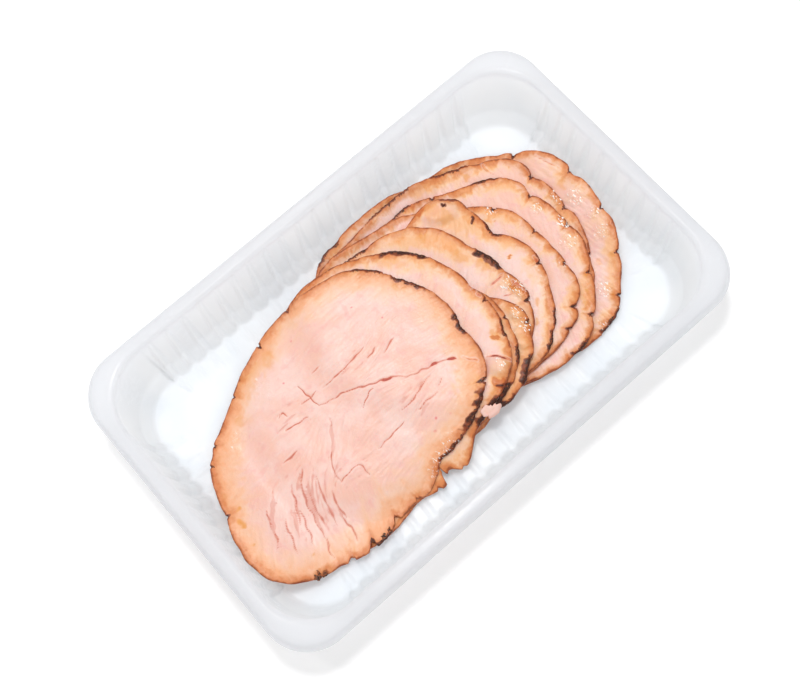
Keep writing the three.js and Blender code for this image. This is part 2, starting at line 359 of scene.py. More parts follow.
def new_tree(
    name: str, inputs: dict[str, str]
) -> tuple[bpy.types.GeometryNodeTree, Bench, list[Wire]]:
    """Starts a tree of Geometry Nodes.

    Args:
        name: The tree's name.
        inputs: The names and kinds of its inputs after the geometry.

    Returns:
        The tree, its bench and a wire from each input, the geometry's first.
    """
    tree = bpy.data.node_groups.new(name, "GeometryNodeTree")
    for label, kind in {"Geometry": "Geometry", **inputs}.items():
        tree.interface.new_socket(label, in_out="INPUT", socket_type="NodeSocket" + kind)
    tree.interface.new_socket("Geometry", in_out="OUTPUT", socket_type="NodeSocketGeometry")
    bench = Bench(tree)
    entry = tree.nodes.new("NodeGroupInput")
    return tree, bench, [Wire(bench, entry.outputs[i]) for i in range(len(inputs) + 1)]


def end_tree(bench: Bench, geometry: Wire, finish: Wire) -> None:
    """Ends a tree of Geometry Nodes: realises what it placed and sets the material.

    Args:
        bench: The tree's bench.
        geometry: What the tree made.
        finish: The input that holds the material.
    """
    whole = bench.node("GeometryNodeRealizeInstances", inputs={"Geometry": geometry})
    inputs = {"Geometry": whole, "Material": finish}
    bench.node("NodeGroupOutput", inputs={0: bench.node("GeometryNodeSetMaterial", inputs=inputs)})


def grown(
    draft: bpy.types.Object, tree: bpy.types.GeometryNodeTree, values: dict, name: str
) -> bpy.types.Object:
    """Runs a tree of Geometry Nodes on a draft, and drops the draft.

    Args:
        draft: The object that the tree works on.
        tree: The nodes.
        values: What its inputs are set to, by their names.
        name: The new piece's name.

    Returns:
        The result as a plain mesh object.
    """
    modifier = draft.modifiers.new("grow", "NODES")
    modifier.node_group = tree
    for item in tree.interface.items_tree:
        if item.in_out == "INPUT" and item.name in values:
            modifier[item.identifier] = values[item.name]
    graph = bpy.context.evaluated_depsgraph_get()
    graph.update()
    mesh = bpy.data.meshes.new_from_object(draft.evaluated_get(graph))
    draft.modifiers.clear()
    bpy.data.objects.remove(draft)
    mesh.name = name
    mesh.polygons.foreach_set("use_smooth", np.ones(len(mesh.polygons), bool))
    if not mesh.materials:
        mesh.materials.append(values["Finish"])
    piece = bpy.data.objects.new(name, mesh)
    bpy.context.scene.collection.objects.link(piece)
    return piece


@dataclass(frozen=True)
class MeatFinish:
    """The cut face of one slice: flesh, browned border band and crust."""

    name: str
    flesh: Colour = screen(240, 189, 177)
    rose: Colour = screen(236, 170, 160)
    pale: Colour = screen(244, 208, 197)
    cream: Colour = screen(245, 199, 158)
    tan: Colour = screen(239, 168, 108)
    gold: Colour = screen(230, 156, 78)
    toast: Colour = screen(206, 114, 58)
    crust: Colour = screen(128, 52, 22)
    char: Colour = screen(66, 27, 10)
    # white of the specks over the wet zones: a painted highlight
    painted_glint: Colour = screen(255, 250, 244)
    crack: Colour = screen(228, 142, 118)
    deep_crack: Colour = screen(150, 56, 38)
    blood: Colour = screen(228, 112, 120)
    band: float = 12.0  # width of the tan border
    creaminess: float = 0.5  # how much of the flesh is cream and not pink
    grain: float = 0.0  # direction of the fibres, in degrees, where no notes are given
    cloud_scale: float = 60.0  # each scale is features a metre
    drift_scale: float = 70.0
    patch_scale: float = 230.0
    dew_scale: float = 640.0
    fine_scale: float = 950.0
    painted_glint_scale: float = 1500.0
    grit_scale: float = 2600.0
    relief_depth: float = 0.0004
    refraction: float = 1.42
    scatter: float = 0.08
    scatter_depth: float = 0.0012
    scatter_colours: Colour = (1.0, 0.42, 0.28)

    def _flesh(self, bench: Bench, cloud: Wire, patch: Wire, fibre: Wire) -> Wire:
        """Colours the inner flesh: pink, paler clouds, cream patches and drawn-out fibres, paler on
        their raised ridges, partly as a painted highlight.

        Args:
            bench: The material's bench.
            cloud: Broad unevenness.
            patch: Unevenness of a few millimetres.
            fibre: Unevenness along the muscle.

        Returns:
            The colour.
        """
        colour = bench.mix(bench.span(cloud, 0.34, 0.68), self.flesh, self.pale)
        creamy = bench.span(patch * 0.35 + cloud * 0.65, 0.6, 0.36) * self.creaminess
        colour = bench.mix(creamy, colour, self.cream)
        colour = bench.mix(bench.span(patch, 0.56, 0.72) * 0.35, colour, self.rose)
        # paler on the raised fibres: partly the meat's own streaks, partly a painted highlight
        colour = bench.mix(bench.span(fibre, 0.3, 2.0) * 0.4, colour, self.pale)
        colour = bench.mix(bench.span(fibre, -0.6, -2.2) * 0.24, colour, self.rose)
        blush = bench.span(bench.mark(Mark.BLUSH), 0.1, 1.0)
        return bench.mix(blush, colour, self.blood)

    def _border(self, bench: Bench, colour: Wire, rim: Wire, patch: Wire, fine: Wire) -> Wire:
        """Browns the border: a tan band, golden stains and a toasted edge.

        Args:
            bench: The material's bench.
            colour: The flesh.
            rim: Distance from the rim, in millimetres.
            patch: Unevenness of a few millimetres.
            fine: Unevenness of about a millimetre.

        Returns:
            The browned colour.
        """
        toasted = bench.mark(Mark.TOAST)
        drift = bench.noise(bench.places(), self.drift_scale, 3.0, 0.8)
        edge = rim + (patch - 0.5) * 9.0 + (drift - 0.5) * 18.0
        creamed = bench.span(edge, self.band * 2.0, self.band * 0.4) + toasted * 2.0
        colour = bench.mix(creamed.clamped() * 0.9, colour, self.cream)
        tanned = bench.span(edge, self.band * 1.1, 0.0) * 0.9 + toasted * 1.1
        colour = bench.mix(tanned.clamped(), colour, self.tan)
        golden = bench.span(drift, 0.5, 0.66) * bench.span(rim, self.band * 1.1, 2.0) * 0.6
        golden = (golden + bench.mark(Mark.GOLD)).clamped()
        colour = bench.mix(golden, colour, self.gold)
        browned = bench.span(rim + (patch - 0.5) * 7.0 + (fine - 0.5) * 1.6, 4.2, 0.2) * 0.85
        brown = browned + bench.span(toasted + (patch - 0.5) * 0.3, 0.55, 1.0) * 0.8
        return bench.mix(brown.clamped(), colour, self.toast)

    def build(self) -> bpy.types.Material:
        """Makes the material.

        Returns:
            A node material that reads the marks on the slice's mesh.
        """
        material, bench = new_material(self.name)
        rim, crack, depth = (bench.mark(mark) for mark in (Mark.RIM, Mark.CRACK, Mark.DEPTH))
        char, fibre = bench.mark(Mark.CHAR), bench.mark(Mark.FIBRE)
        plain = bench.places()
        cloud = bench.noise(plain, self.cloud_scale, 4.0, 0.6)
        patch = bench.noise(plain, self.patch_scale, 4.0, 0.5)
        fine = bench.noise(plain, self.fine_scale, 3.0)
        grit = bench.noise(plain, self.grit_scale, 2.0)

        colour = self._flesh(bench, cloud, patch, fibre + (fine - 0.5) * 1.5)
        colour = self._border(bench, colour, rim, patch, fine)
        crusted = bench.span(rim + (fine - 0.5) * 1.2 + (patch - 0.5) * 3.0, 1.0, -0.1)
        colour = bench.mix(crusted * 0.75, colour, self.crust)
        gap = crack + (fine - 0.5) * 0.14
        # paler strip beside each crack: a painted highlight on its raised lip
        painted_crack_highlight = bench.span(gap, 0.3, 0.6) * bench.span(gap, 1.3, 0.6) * depth * 0.45
        colour = bench.mix(painted_crack_highlight, colour, self.pale)
        colour = bench.mix(bench.span(gap, 0.32, -0.05) * depth, colour, self.crack)
        heart = bench.span(gap, 0.1, -0.35) * bench.span(depth, 0.5, 0.9)
        colour = bench.mix(heart, colour, self.deep_crack)
        singed = bench.span(char + (fine - 0.5) * 0.3 + (patch - 0.5) * 0.4, 0.1, 0.5)
        colour = bench.mix(singed * 0.9, colour, self.crust)
        burnt = bench.span(char + (fine - 0.5) * 0.9 + (patch - 0.5) * 0.3, 0.55, 0.95)
        colour = bench.mix(burnt, colour, self.char)

        wet = bench.mark(Mark.WET)
        # white specks over the wet zones: painted highlights mixed into the base colour
        drawn = bench.places(50.0, (1.0, 0.45, 1.0))
        painted_glint_share = bench.span(bench.noise(drawn, self.painted_glint_scale, 2.0), 0.55, 0.64)
        painted_glint_share = painted_glint_share * bench.span(wet + (patch - 0.5) * 1.2, 0.3, 0.8)
        colour = bench.mix(painted_glint_share, colour, self.painted_glint)
        gloss = bench.span(fine * 0.5 + patch * 0.5, 0.3, 0.7, 0.28, 0.46) - wet * 0.24
        dew = bench.noise(plain, self.dew_scale, 1.5, 0.6)
        relief = fibre * 0.1 + fine * 0.4 + grit * 0.12 + patch * 0.5 + wet * dew * 1.5
        shader = bench.surface(
            colour,
            gloss,
            {
                "Normal": bench.bump(relief, 0.85, self.relief_depth),
                "IOR": self.refraction,
                "Subsurface Weight": self.scatter,
                "Subsurface Radius": self.scatter_colours,
                "Subsurface Scale": self.scatter_depth,
            },
            {"subsurface_method": "RANDOM_WALK"},
        )
        finish_surface(bench, shader)
        return material


@dataclass(frozen=True)
class SheetFinish:
    """Milky thermoformed plastic, glossy where the mould polished it."""

    name: str = "milky_sheet"
    bright: Colour = screen(250, 251, 252)
    shade: Colour = screen(246, 248, 250)
    thick: Colour = screen(246, 247, 249)  # the rim, which the forming didn't draw thin
    see_through: float = 0.55
    rim_see_through: float = 0.4
    rim_height: float = 0.0335
    rim_fade: float = 0.004
    glow_through: float = 0.64  # share of the light that scatters through the sheet
    refraction: float = 1.49
    relief_depth: float = 0.0002

    def build(self) -> bpy.types.Material:
        """Makes the material.

        Returns:
            A node material for the formed sheet.
        """
        material, bench = new_material(self.name)
        drawn = bench.noise(bench.places(0.0, (1.0, 1.0, 0.25)), 45.0, 3.0, 0.5)
        haze = bench.noise(bench.places(), 420.0, 4.0)
        seat = bench.node("ShaderNodeTexCoord", output="Object")
        height = bench.node("ShaderNodeSeparateXYZ", inputs={0: seat}, output=2)
        rim = bench.span(height, self.rim_height - self.rim_fade, self.rim_height)
        colour = bench.mix(bench.span(drawn, 0.3, 0.7), self.bright, self.shade)
        colour = bench.mix(rim, colour, self.thick)
        gloss = bench.span(haze * 0.4 + drawn * 0.6, 0.35, 0.65, 0.16, 0.3)
        alpha = rim * (self.see_through - self.rim_see_through) + (1 - self.see_through)
        bump = bench.bump(drawn, 0.12, self.relief_depth)
        shader = bench.surface(
            colour, gloss, {"Normal": bump, "IOR": self.refraction, "Alpha": alpha}
        )
        through = bench.node("ShaderNodeBsdfTranslucent", inputs={"Color": colour})
        inputs = {0: self.glow_through, 1: shader, 2: through}
        finish_surface(bench, bench.node("ShaderNodeMixShader", inputs=inputs))
        return material


@dataclass(frozen=True)
class CrumbFinish:
    """Burnt crust in loose flecks."""

    name: str = "burnt_crust"
    dark: Colour = screen(38, 20, 14)
    brown: Colour = screen(150, 82, 40)
    spot_scale: float = 1400.0
    relief_depth: float = 0.0002

    def build(self) -> bpy.types.Material:
        """Makes the material.

        Returns:
            A node material for the flecks.
        """
        material, bench = new_material(self.name)
        spots = bench.noise(bench.places(), self.spot_scale, 3.0)
        colour = bench.mix(bench.span(spots, 0.4, 0.6), self.dark, self.brown)
        gloss = bench.span(spots, 0.3, 0.7, 0.3, 0.6)
        bump = bench.bump(spots, 0.5, self.relief_depth)
        shader = bench.surface(colour, gloss, {"Normal": bump})
        finish_surface(bench, shader)
        return material


def write_mesh(
    name: str,
    points: np.ndarray,
    faces: np.ndarray | list,
    marks: dict[str, np.ndarray] | None = None,
) -> bpy.types.Object:
    """Makes an object at the origin from points in millimetres.

    Args:
        name: The piece's name.
        points: Its points, one row each.
        faces: Point numbers, one row a face, in an array or in arrays of one width each.
        marks: Values, or vectors, that every point carries, by name.

    Returns:
        The new object, smooth shaded.
    """
    rows = faces if isinstance(faces, list) else [faces]
    mesh = bpy.data.meshes.new(name)
    mesh.vertices.add(len(points))
    mesh.vertices.foreach_set("co", (points * MM).astype(np.float32).ravel())
    corners = np.concatenate([block.ravel() for block in rows])
    sizes = np.concatenate([np.full(len(block), block.shape[1]) for block in rows])
    if len(sizes):
        mesh.loops.add(len(corners))
        mesh.loops.foreach_set("vertex_index", corners.astype(np.int32))
        mesh.polygons.add(len(sizes))
        starts = np.concatenate([[0], np.cumsum(sizes)[:-1]])
        mesh.polygons.foreach_set("loop_start", starts.astype(np.int32))
        mesh.polygons.foreach_set("use_smooth", np.ones(len(sizes), bool))
    for key, values in (marks or {}).items():
        flat = values.ndim == 1
        layer = mesh.attributes.new(key, "FLOAT" if flat else "FLOAT_VECTOR", "POINT")
        layer.data.foreach_set("value" if flat else "vector", values.astype(np.float32).ravel())
    mesh.update(calc_edges=True)
    mesh.validate()
    piece = bpy.data.objects.new(name, mesh)
    bpy.context.scene.collection.objects.link(piece)
    return piece


def ring_faces(rings: int, around: int, start: int = 0) -> np.ndarray:
    """Quads between rings of points that follow each other, each ring closed.

    Args:
        rings: How many rings.
        around: How many points a ring has.
        start: Number of the first ring's first point.

    Returns:
        Rows of four point numbers, facing out where rings go counter-clockwise and upwards.
    """
    ring, step = np.meshgrid(np.arange(rings - 1), np.arange(around), indexing="ij")
    here = start + ring * around + step
    beside = start + ring * around + (step + 1) % around
    return np.stack([here, beside, beside + around, here + around], -1).reshape(-1, 4)


@dataclass(frozen=True)
class Outline:
    """A closed outline round a middle, as a radius in every direction."""

    middle: Point
    radius: np.ndarray

    @classmethod
    def of_node(cls, node: bpy.types.Object, middle: Point, around: int = 1440) -> "Outline":
        """Reads the upright walls of a slice's solid.

        Args:
            node: The solid, whose rim walls stand upright.
            middle: The place that the directions are counted from.
            around: How many directions to keep.

        Returns:
            The solid's outline, seen from above.
        """
        mesh = node.data
        spots = np.empty(len(mesh.vertices) * 3)
        mesh.vertices.foreach_get("co", spots)
        spots = spots.reshape(-1, 3) / MM
        walls = [v for f in mesh.polygons if abs(f.normal.z) < 0.02 for v in f.vertices]
        rim = np.unique(np.round(spots[walls, :2], 3), axis=0)
        turns = np.arctan2(rim[:, 1] - middle[1], rim[:, 0] - middle[0])
        order = np.argsort(turns)
        turns = turns[order]
        arms = np.hypot(rim[:, 0] - middle[0], rim[:, 1] - middle[1])[order]
        wrapped = np.concatenate([turns[-1:] - 2 * math.pi, turns, turns[:1] + 2 * math.pi])
        lengths = np.concatenate([arms[-1:], arms, arms[:1]])
        even = -math.pi + np.arange(around) * 2 * math.pi / around
        after = np.searchsorted(wrapped, even, side="right")
        near, far = after - 1, after
        ax, ay = lengths[near] * np.cos(wrapped[near]), lengths[near] * np.sin(wrapped[near])
        bx, by = lengths[far] * np.cos(wrapped[far]), lengths[far] * np.sin(wrapped[far])
        across = np.cos(even) * (by - ay) - np.sin(even) * (bx - ax)
        return cls(middle, (ax * by - ay * bx) / across)

    def softened(self, width: float) -> "Outline":
        """The outline with its corners and nicks blurred over a width in millimetres."""
        step = 2 * math.pi * self.radius.mean() / len(self.radius)
        return Outline(self.middle, circular_blur(self.radius, width / step))

    def toward(self, turn: np.ndarray) -> np.ndarray:
        """The radius in some directions.

        Args:
            turn: The directions, in radians.

        Returns:
            The radii, in millimetres.
        """
        count = len(self.radius)
        place = (np.asarray(turn) + math.pi) / (2 * math.pi) * count
        low = np.floor(place).astype(int)
        share = place - low
        return self.radius[low % count] * (1 - share) + self.radius[(low + 1) % count] * share

    def beyond(self, x: np.ndarray, y: np.ndarray) -> np.ndarray:
        """How far points lie outside the outline, along their direction from its middle."""
        dx, dy = x - self.middle[0], y - self.middle[1]
        return np.hypot(dx, dy) - self.toward(np.arctan2(dy, dx))


@dataclass(frozen=True)
class Climb:
    """A wall that pushes the pile up: heights rise from one place to another along an axis."""

    axis: int
    start: float
    end: float
    height: float


@dataclass(frozen=True)
class Rumple:
    """Air under every slice from a level of the pile up."""

    level: int
    x: float
    y: float
    radius: float
    height: float


@dataclass
class Pile:
    """How slices settle on each other in the tray, as their solids do."""

    outlines: list[Outline]
    thickness: float = 1.4
    pitch: float = 1.75
    lowest: float = 0.95
    droop: Point = (3.0, 17.0)
    climbs: tuple[Climb, ...] = each(
        Climb, (0, -78, -106, 12.5), (0, 80, 106, 9), (1, 42, 64, 6.5), (1, -44, -64, 5),
    )
    rumples: tuple[Rumple, ...] = each(
        Rumple, (3, 56, -24, 22, 0.9), (4, 47, 35, 17, 2.4), (4, 60, -14, 18, 1.1),
        (5, 46, 8, 20, 1.2), (6, 44, -14, 18, 1.3), (7, 30, -26, 16, 1.2), (8, 19, -31, 17, 2.2),
        (8, 21, 29, 24, 1.1), (9, -4, 22, 28, 0.9), (9, -62, -26, 34, 1.6),
    )

    def __post_init__(self) -> None:
        """Blurs the outlines that carry the slices above them."""
        self.shoulders = [outline.softened(5.0) for outline in self.outlines]

    def underside(self, level: int, x: np.ndarray, y: np.ndarray) -> np.ndarray:
        """Height of the underside of the slice with so many slices beneath it.

        Args:
            level: How many slices lie beneath.
            x: Places along X.
            y: Places along Y.

        Returns:
            Heights above the surface that the tray stands on.
        """
        height = np.full_like(x, self.lowest)
        for climb in self.climbs:
            height += climb.height * easing(climb.start, climb.end, (x, y)[climb.axis])
        for shoulder in self.shoulders[:level]:
            height += self.pitch * (1 - easing(*self.droop, shoulder.beyond(x, y)))
        for rumple in self.rumples:
            if level >= rumple.level:
                reach = np.hypot(x - rumple.x, y - rumple.y)
                height += rumple.height * (1 - easing(0.0, rumple.radius, reach))
        return height


@dataclass(frozen=True)
class Scorch:
    """A stretch of rim that the oven burnt, between two directions in degrees.

    A short one is a slit that the net's string left, a long one is a ragged burnt edge.
    """

    start: float
    end: float
    reach: float = 1.0
    strength: float = 1.0
    longest_slit: float = 7.5

    def off(self, degrees: np.ndarray) -> tuple[np.ndarray, float]:
        """Angles from the stretch's middle, and half the angle that it spans."""
        middle = (self.start + self.end) / 2
        return np.abs((degrees - middle + 180) % 360 - 180), abs(self.end - self.start) / 2

    def is_slit(self) -> bool:
        """Whether it is short enough for a slit."""
        return abs(self.end - self.start) <= self.longest_slit


@dataclass(frozen=True)
class Nick:
    """A bite out of the rim at a place, as deep and as wide to each side as given."""

    x: float
    y: float
    depth: float = 1.5
    half: float = 1.2


@dataclass(frozen=True)
class Stroke:
    """A crack, vein or stain drawn over a slice, through points in the row's frame."""

    path: tuple[Point, ...]
    width: float = 0.5
    strength: float = 1.0
    soft: float = 0.75  # share of the width over which it fades


@dataclass(frozen=True)
class Lobe:
    """A fold that stands up from a slice: an oval with a soft border."""

    x: float
    y: float
    length: float
    width: float
    turn: float
    height: float
    softness: float = 0.5


def curved(path: np.ndarray) -> np.ndarray:
    """Makes a smooth curve of a path by cutting its corners twice.

    Args:
        path: Points, one row each.

    Returns:
        The curve's points.
    """
    for _ in range(2 if len(path) > 2 else 0):
        near, far = 0.75 * path[:-1] + 0.25 * path[1:], 0.25 * path[:-1] + 0.75 * path[1:]
        path = np.vstack([path[:1], np.stack([near, far], 1).reshape(-1, 2)[1:-1], path[-1:]])
    return path


def stroke_field(
    x: np.ndarray, y: np.ndarray, strokes: tuple[Stroke, ...], seed: int
) -> tuple[np.ndarray, np.ndarray]:
    """Measures how far places lie from strokes that taper at both ends.

    Args:
        x: Places along X.
        y: Places along Y.
        strokes: The lines.
        seed: Seed of their uneven course and width.

    Returns:
        The distance beyond the nearest stroke's border, negative inside it, at most REACH; and
        that stroke's strength.
    """
    beyond = np.full_like(x, REACH)
    strength = np.zeros_like(x)
    wander = ripple(x, y, 3.0, seed)
    shift_x = STRAY * ripple(x, y, STRAY_LENGTH, seed + 1)
    shift_y = STRAY * ripple(x, y, STRAY_LENGTH, seed + 2)
    for stroke in strokes:
        path = curved(np.array(stroke.path if len(stroke.path) > 1 else stroke.path * 2))
        margin = REACH + 1.5 + stroke.width * 1.6
        low, high = path.min(0) - margin, path.max(0) + margin
        near = np.nonzero((x > low[0]) & (x < high[0]) & (y > low[1]) & (y < high[1]))[0]
        if not len(near):
            continue
        spot = np.stack([x[near] + shift_x[near], y[near] + shift_y[near]], 1)
        steps = np.hypot(*(path[1:] - path[:-1]).T)
        total = max(steps.sum(), 1e-6)
        travelled = 0.0
        best = np.full(len(near), REACH)
        for start, end, step in zip(path[:-1], path[1:], steps):
            along = np.clip(((spot - start) @ (end - start)) / max(step**2, 1e-9), 0, 1)
            gap = np.hypot(*(spot - start - along[:, None] * (end - start)).T)
            share = (travelled + along * step) / total
            taper = np.ones_like(share)
            if len(stroke.path) > 1:
                taper = np.clip(THINNING * np.minimum(share, 1 - share), 0.1, 1.0)
            half = stroke.width * taper * (0.92 + 0.16 * wander[near])
            best = np.minimum(best, gap - half)
            travelled += step
        nearer = best < beyond[near]
        strength[near] = np.where(nearer, stroke.strength, strength[near])
        beyond[near] = np.minimum(beyond[near], best)
    return beyond, strength


def stroke_mask(x: np.ndarray, y: np.ndarray, strokes: tuple[Stroke, ...], seed: int) -> np.ndarray:
    """How strongly soft strokes mark each place.

    Args:
        x: Places along X.
        y: Places along Y.
        strokes: The lines.
        seed: Seed of their uneven course and width.

    Returns:
        Values from 0 to 1.
    """
    mask = np.zeros_like(x)
    for number, stroke in enumerate(strokes):
        beyond, strength = stroke_field(x, y, (stroke,), seed + number)
        fade = stroke.soft * stroke.width
        mask = np.maximum(mask, strength * (1 - easing(-fade, 0.0, beyond)))
    return mask


@dataclass(frozen=True)
class Grain:
    """Which way the muscle fibres run: notes of a place and a direction there, in degrees."""

    notes: tuple[Spot, ...]
    reach: float = 13.0
    step: float = 0.45

    def direction(self, x: np.ndarray, y: np.ndarray) -> np.ndarray:
        """The fibres' direction, blended from the notes.

        Args:
            x: Places along X.
            y: Places along Y.

        Returns:
            Radians.
        """
        cosine, sine = np.zeros_like(x), np.zeros_like(x)
        for note_x, note_y, degrees in self.notes:
            gap = ((x - note_x) ** 2 + (y - note_y) ** 2) / self.reach**2
            weight = 1 / (gap + 0.12) ** 1.6
            cosine += weight * math.cos(math.radians(2 * degrees))
            sine += weight * math.sin(math.radians(2 * degrees))
        return 0.5 * np.arctan2(sine, cosine)

    def streaks(
        self, x: np.ndarray, y: np.ndarray, cell: float, length: float, seed: int
    ) -> np.ndarray:
        """Unevenness drawn out along the fibres.

        Args:
            x: Places along X.
            y: Places along Y.
            cell: Width of a streak.
            length: Length of a streak.
            seed: Fixed seed.

        Returns:
            Values of about -2 to 2.
        """
        total = speckle(x, y, cell, seed)
        steps = int(length / 2 / self.step)
        for way in (0.0, math.pi):
            spot_x, spot_y = x.copy(), y.copy()
            heading = self.direction(x, y) + way
            for number in range(1, steps + 1):
                spot_x += self.step * np.cos(heading)
                spot_y += self.step * np.sin(heading)
                total += (1 - number / (steps + 1)) * speckle(spot_x, spot_y, cell, seed)
                turned = self.direction(spot_x, spot_y)
                heading = turned + np.where(np.cos(turned - heading) < 0, math.pi, 0.0)
        return total / total.std()


@dataclass
class Slice:
    """One slice of turkey ham: a thin closed leaf that drapes over those beneath."""

    node: str
    level: int
    middle: Point
    finish: MeatFinish
    scorches: tuple[Scorch, ...] = ()
    nicks: tuple[Nick, ...] = ()
    cracks: tuple[Stroke, ...] = ()
    burns: tuple[Stroke, ...] = ()
    stains: tuple[Stroke, ...] = ()
    golds: tuple[Stroke, ...] = ()
    blushes: tuple[Stroke, ...] = ()
    splits: tuple[Stroke, ...] = ()
    glints: tuple[Stroke, ...] = ()
    lobes: tuple[Lobe, ...] = ()
    shown: float = 26.0  # width of the border that has the fine mesh
    step: float = 0.55  # ring spacing in that border
    around: int = 560
    slot: Slot = Slot.HAM
    ragged: float = 0.06  # unevenness of the rim where nothing burnt it
    softness: float = 1.7  # how far the solid's corners are rounded along the rim
    slit: float = 0.7  # depth of a slit
    crust: float = 0.06  # strength of the dark line along the whole rim
    lip: float = 0.5  # how far the rim's edge is rounded
    inner_softness: float = 1.2  # how far the rings inside are rounded
    under_step: float = 3.2  # ring spacing underneath
    slit_width: float = 0.8  # from a slit's middle to its side
    burnt_rough: float = 0.22  # unevenness of a burnt edge
    swell: float = 0.18  # slow unevenness of the whole rim
    sway: float = 0.13  # slow unevenness of the faces
    crack_depth: float = 0.4
    crust_height: float = 0.35
    grain: Grain | None = None
    seed: int = 1

    def _ring_shares(self, outline: Outline) -> np.ndarray:
        """Spaces the rings of the top, closer in the border that shows.

        Args:
            outline: The slice's outline.

        Returns:
            Their radii as shares of the outline's, from the middle out.
        """
        reach = outline.radius.mean()
        shown = min(self.shown, reach * 0.97)
        fine = np.arange(0.9, shown, self.step)[::-1]
        shares = 1 - fine / reach
        coarse = np.linspace(0, shares[0], max(3, int((reach - shown) / 2.2)), endpoint=False)[1:]
        return np.concatenate([coarse, shares])

    def _rim(self, outline: Outline, turns: np.ndarray) -> np.ndarray:
        """The outline's radius in each direction: smooth, with slits, bites and burnt raggedness.

        Args:
            outline: The solid's outline.
            turns: The directions, in radians.

        Returns:
            Radii in millimetres.
        """
        radius = outline.softened(self.softness).toward(turns)
        x, y = radius * np.cos(turns), radius * np.sin(turns)
        rough = np.full_like(radius, self.ragged)
        bite = np.zeros_like(radius)
        for scorch in self.scorches:
            off, half = scorch.off(np.degrees(turns))
            if scorch.is_slit():
                open_to = 1 - easing(0.05, self.slit_width, np.radians(off) * radius)
                bite = np.maximum(bite, self.slit * scorch.reach * open_to)
            else:
                rough = np.maximum(rough, self.burnt_rough * (1 - easing(half, half + 3, off)))
        for nick in self.nicks:
            turn = math.atan2(nick.y - self.middle[1], nick.x - self.middle[0])
            gap = np.abs((turns - turn + math.pi) % (2 * math.pi) - math.pi) * radius
            torn = 1 + 0.35 * ripple(x, y, 1.6, self.seed + 53)
            open_to = 1 - easing(0.35 * nick.half, nick.half, gap)
            bite = np.maximum(bite, nick.depth * torn * open_to)
        ragged = 0.6 * ripple(x, y, 2.6, self.seed + 50) + 0.5 * ripple(x, y, 1.3, self.seed + 51)
        swell = self.swell * ripple(x, y, 9.0, self.seed + 52)
        return radius + swell + rough * ragged - bite

    def _relief(
        self, x: np.ndarray, y: np.ndarray, crack: np.ndarray, fibre: np.ndarray
    ) -> np.ndarray:
        """Height of the meat's own unevenness over the draped leaf."""
        relief = self.sway * ripple(x, y, 16.0, 4) + 0.04 * ripple(x, y, 5.0, self.seed + 1)
        return relief + 0.03 * fibre - self.crack_depth * crack

    def _lobes(self, x: np.ndarray, y: np.ndarray) -> np.ndarray:
        """Height of the folds.

        Args:
            x: Places along X.
            y: Places along Y.

        Returns:
            Heights in millimetres.
        """
        height = np.zeros_like(x)
        for lobe in self.lobes:
            turn = math.radians(lobe.turn)
            dx, dy = x - lobe.x, y - lobe.y
            u = (dx * math.cos(turn) + dy * math.sin(turn)) / lobe.length
            v = (dy * math.cos(turn) - dx * math.sin(turn)) / lobe.width
            height += lobe.height * (1 - easing(1 - lobe.softness, 1.0, np.hypot(u, v)))
        return height

    def _char(self, outline: Outline, x: np.ndarray, y: np.ndarray, rim: np.ndarray) -> np.ndarray:
        """How burnt each place is: the thin rim line, net marks and scorched stretches.

        Args:
            outline: The slice's outline.
            x: Places along X.
            y: Places along Y.
            rim: Their distance from the rim.

        Returns:
            Values from 0 to about 1.
        """
        turns = np.arctan2(y - outline.middle[1], x - outline.middle[0])
        degrees = np.degrees(turns)
        patchy = np.clip(0.8 * ripple(x, y, 7.0, self.seed + 3), 0, 1)
        char = (self.crust + 0.42 * patchy) * (1 - easing(0.05, 0.4 + 0.9 * patchy, rim))
        uneven = np.clip(0.85 + 0.3 * ripple(x, y, 4.0, self.seed + 4), 0.3, 1.5)
        for scorch in self.scorches:
            off, half = scorch.off(degrees)
            if scorch.is_slit():
                gap = np.radians(off) * outline.toward(turns)
                lean = gap + 0.35 * ripple(x, y, 1.7, self.seed + 6)
                dark = (1 - easing(0.5, 1.4, lean)) * (1 - easing(0.5, 1.2, rim / scorch.reach))
            else:
                along = 1 - easing(half * 0.75, half + 1.0, off)
                dark = along * (1 - easing(0.45, 1.15, rim / (scorch.reach * uneven)))
            char = np.maximum(char, scorch.strength * dark)
        return char

    def _rows(
        self, outline: Outline, turns: np.ndarray, radius: np.ndarray
    ) -> tuple[np.ndarray, np.ndarray]:
        """The leaf's rings of points: out over the top, round the lip and back underneath.

        Args:
            outline: The slice's outline.
            turns: The directions of the points, in radians.
            radius: The finished rim's radius in each direction.

        Returns:
            Each ring's radii, and its side: 1 on top and -1 underneath.
        """
        smooth = outline.softened(self.inner_softness).toward(turns)
        under = np.linspace(0.985, 0.02, max(4, int(outline.radius.mean() / self.under_step)))
        rims, sides = [], []
        for share in self._ring_shares(outline):
            rims.append(smooth * share * (1 - share**6) + (radius - self.lip) * share * share**6)
            sides.append(1.0)
        for angle in np.radians([60, 30, 0, -30, -60]):
            rims.append(radius - self.lip * (1 - math.cos(angle)))
            sides.append(math.sin(angle))
        for share in under:
            rims.append((radius - self.lip) * share)
            sides.append(-1.0)
        return np.array(rims), np.array(sides)

    def _faces(self, rings: int) -> list[np.ndarray]:
        """The leaf's faces, closed at the middle above and below.

        Args:
            rings: How many rings of points the leaf has.

        Returns:
            Rows of point numbers: quads, then the triangles above and below.
        """
        first, pole = np.arange(self.around), np.zeros(self.around, int)
        here, after = 1 + first, 1 + (first + 1) % self.around
        last = (rings - 1) * self.around
        top = np.stack([pole, here, after], 1)
        base = np.stack([pole + 1 + rings * self.around, last + after, last + here], 1)
        return [ring_faces(rings, self.around, 1)[:, ::-1], top, base]

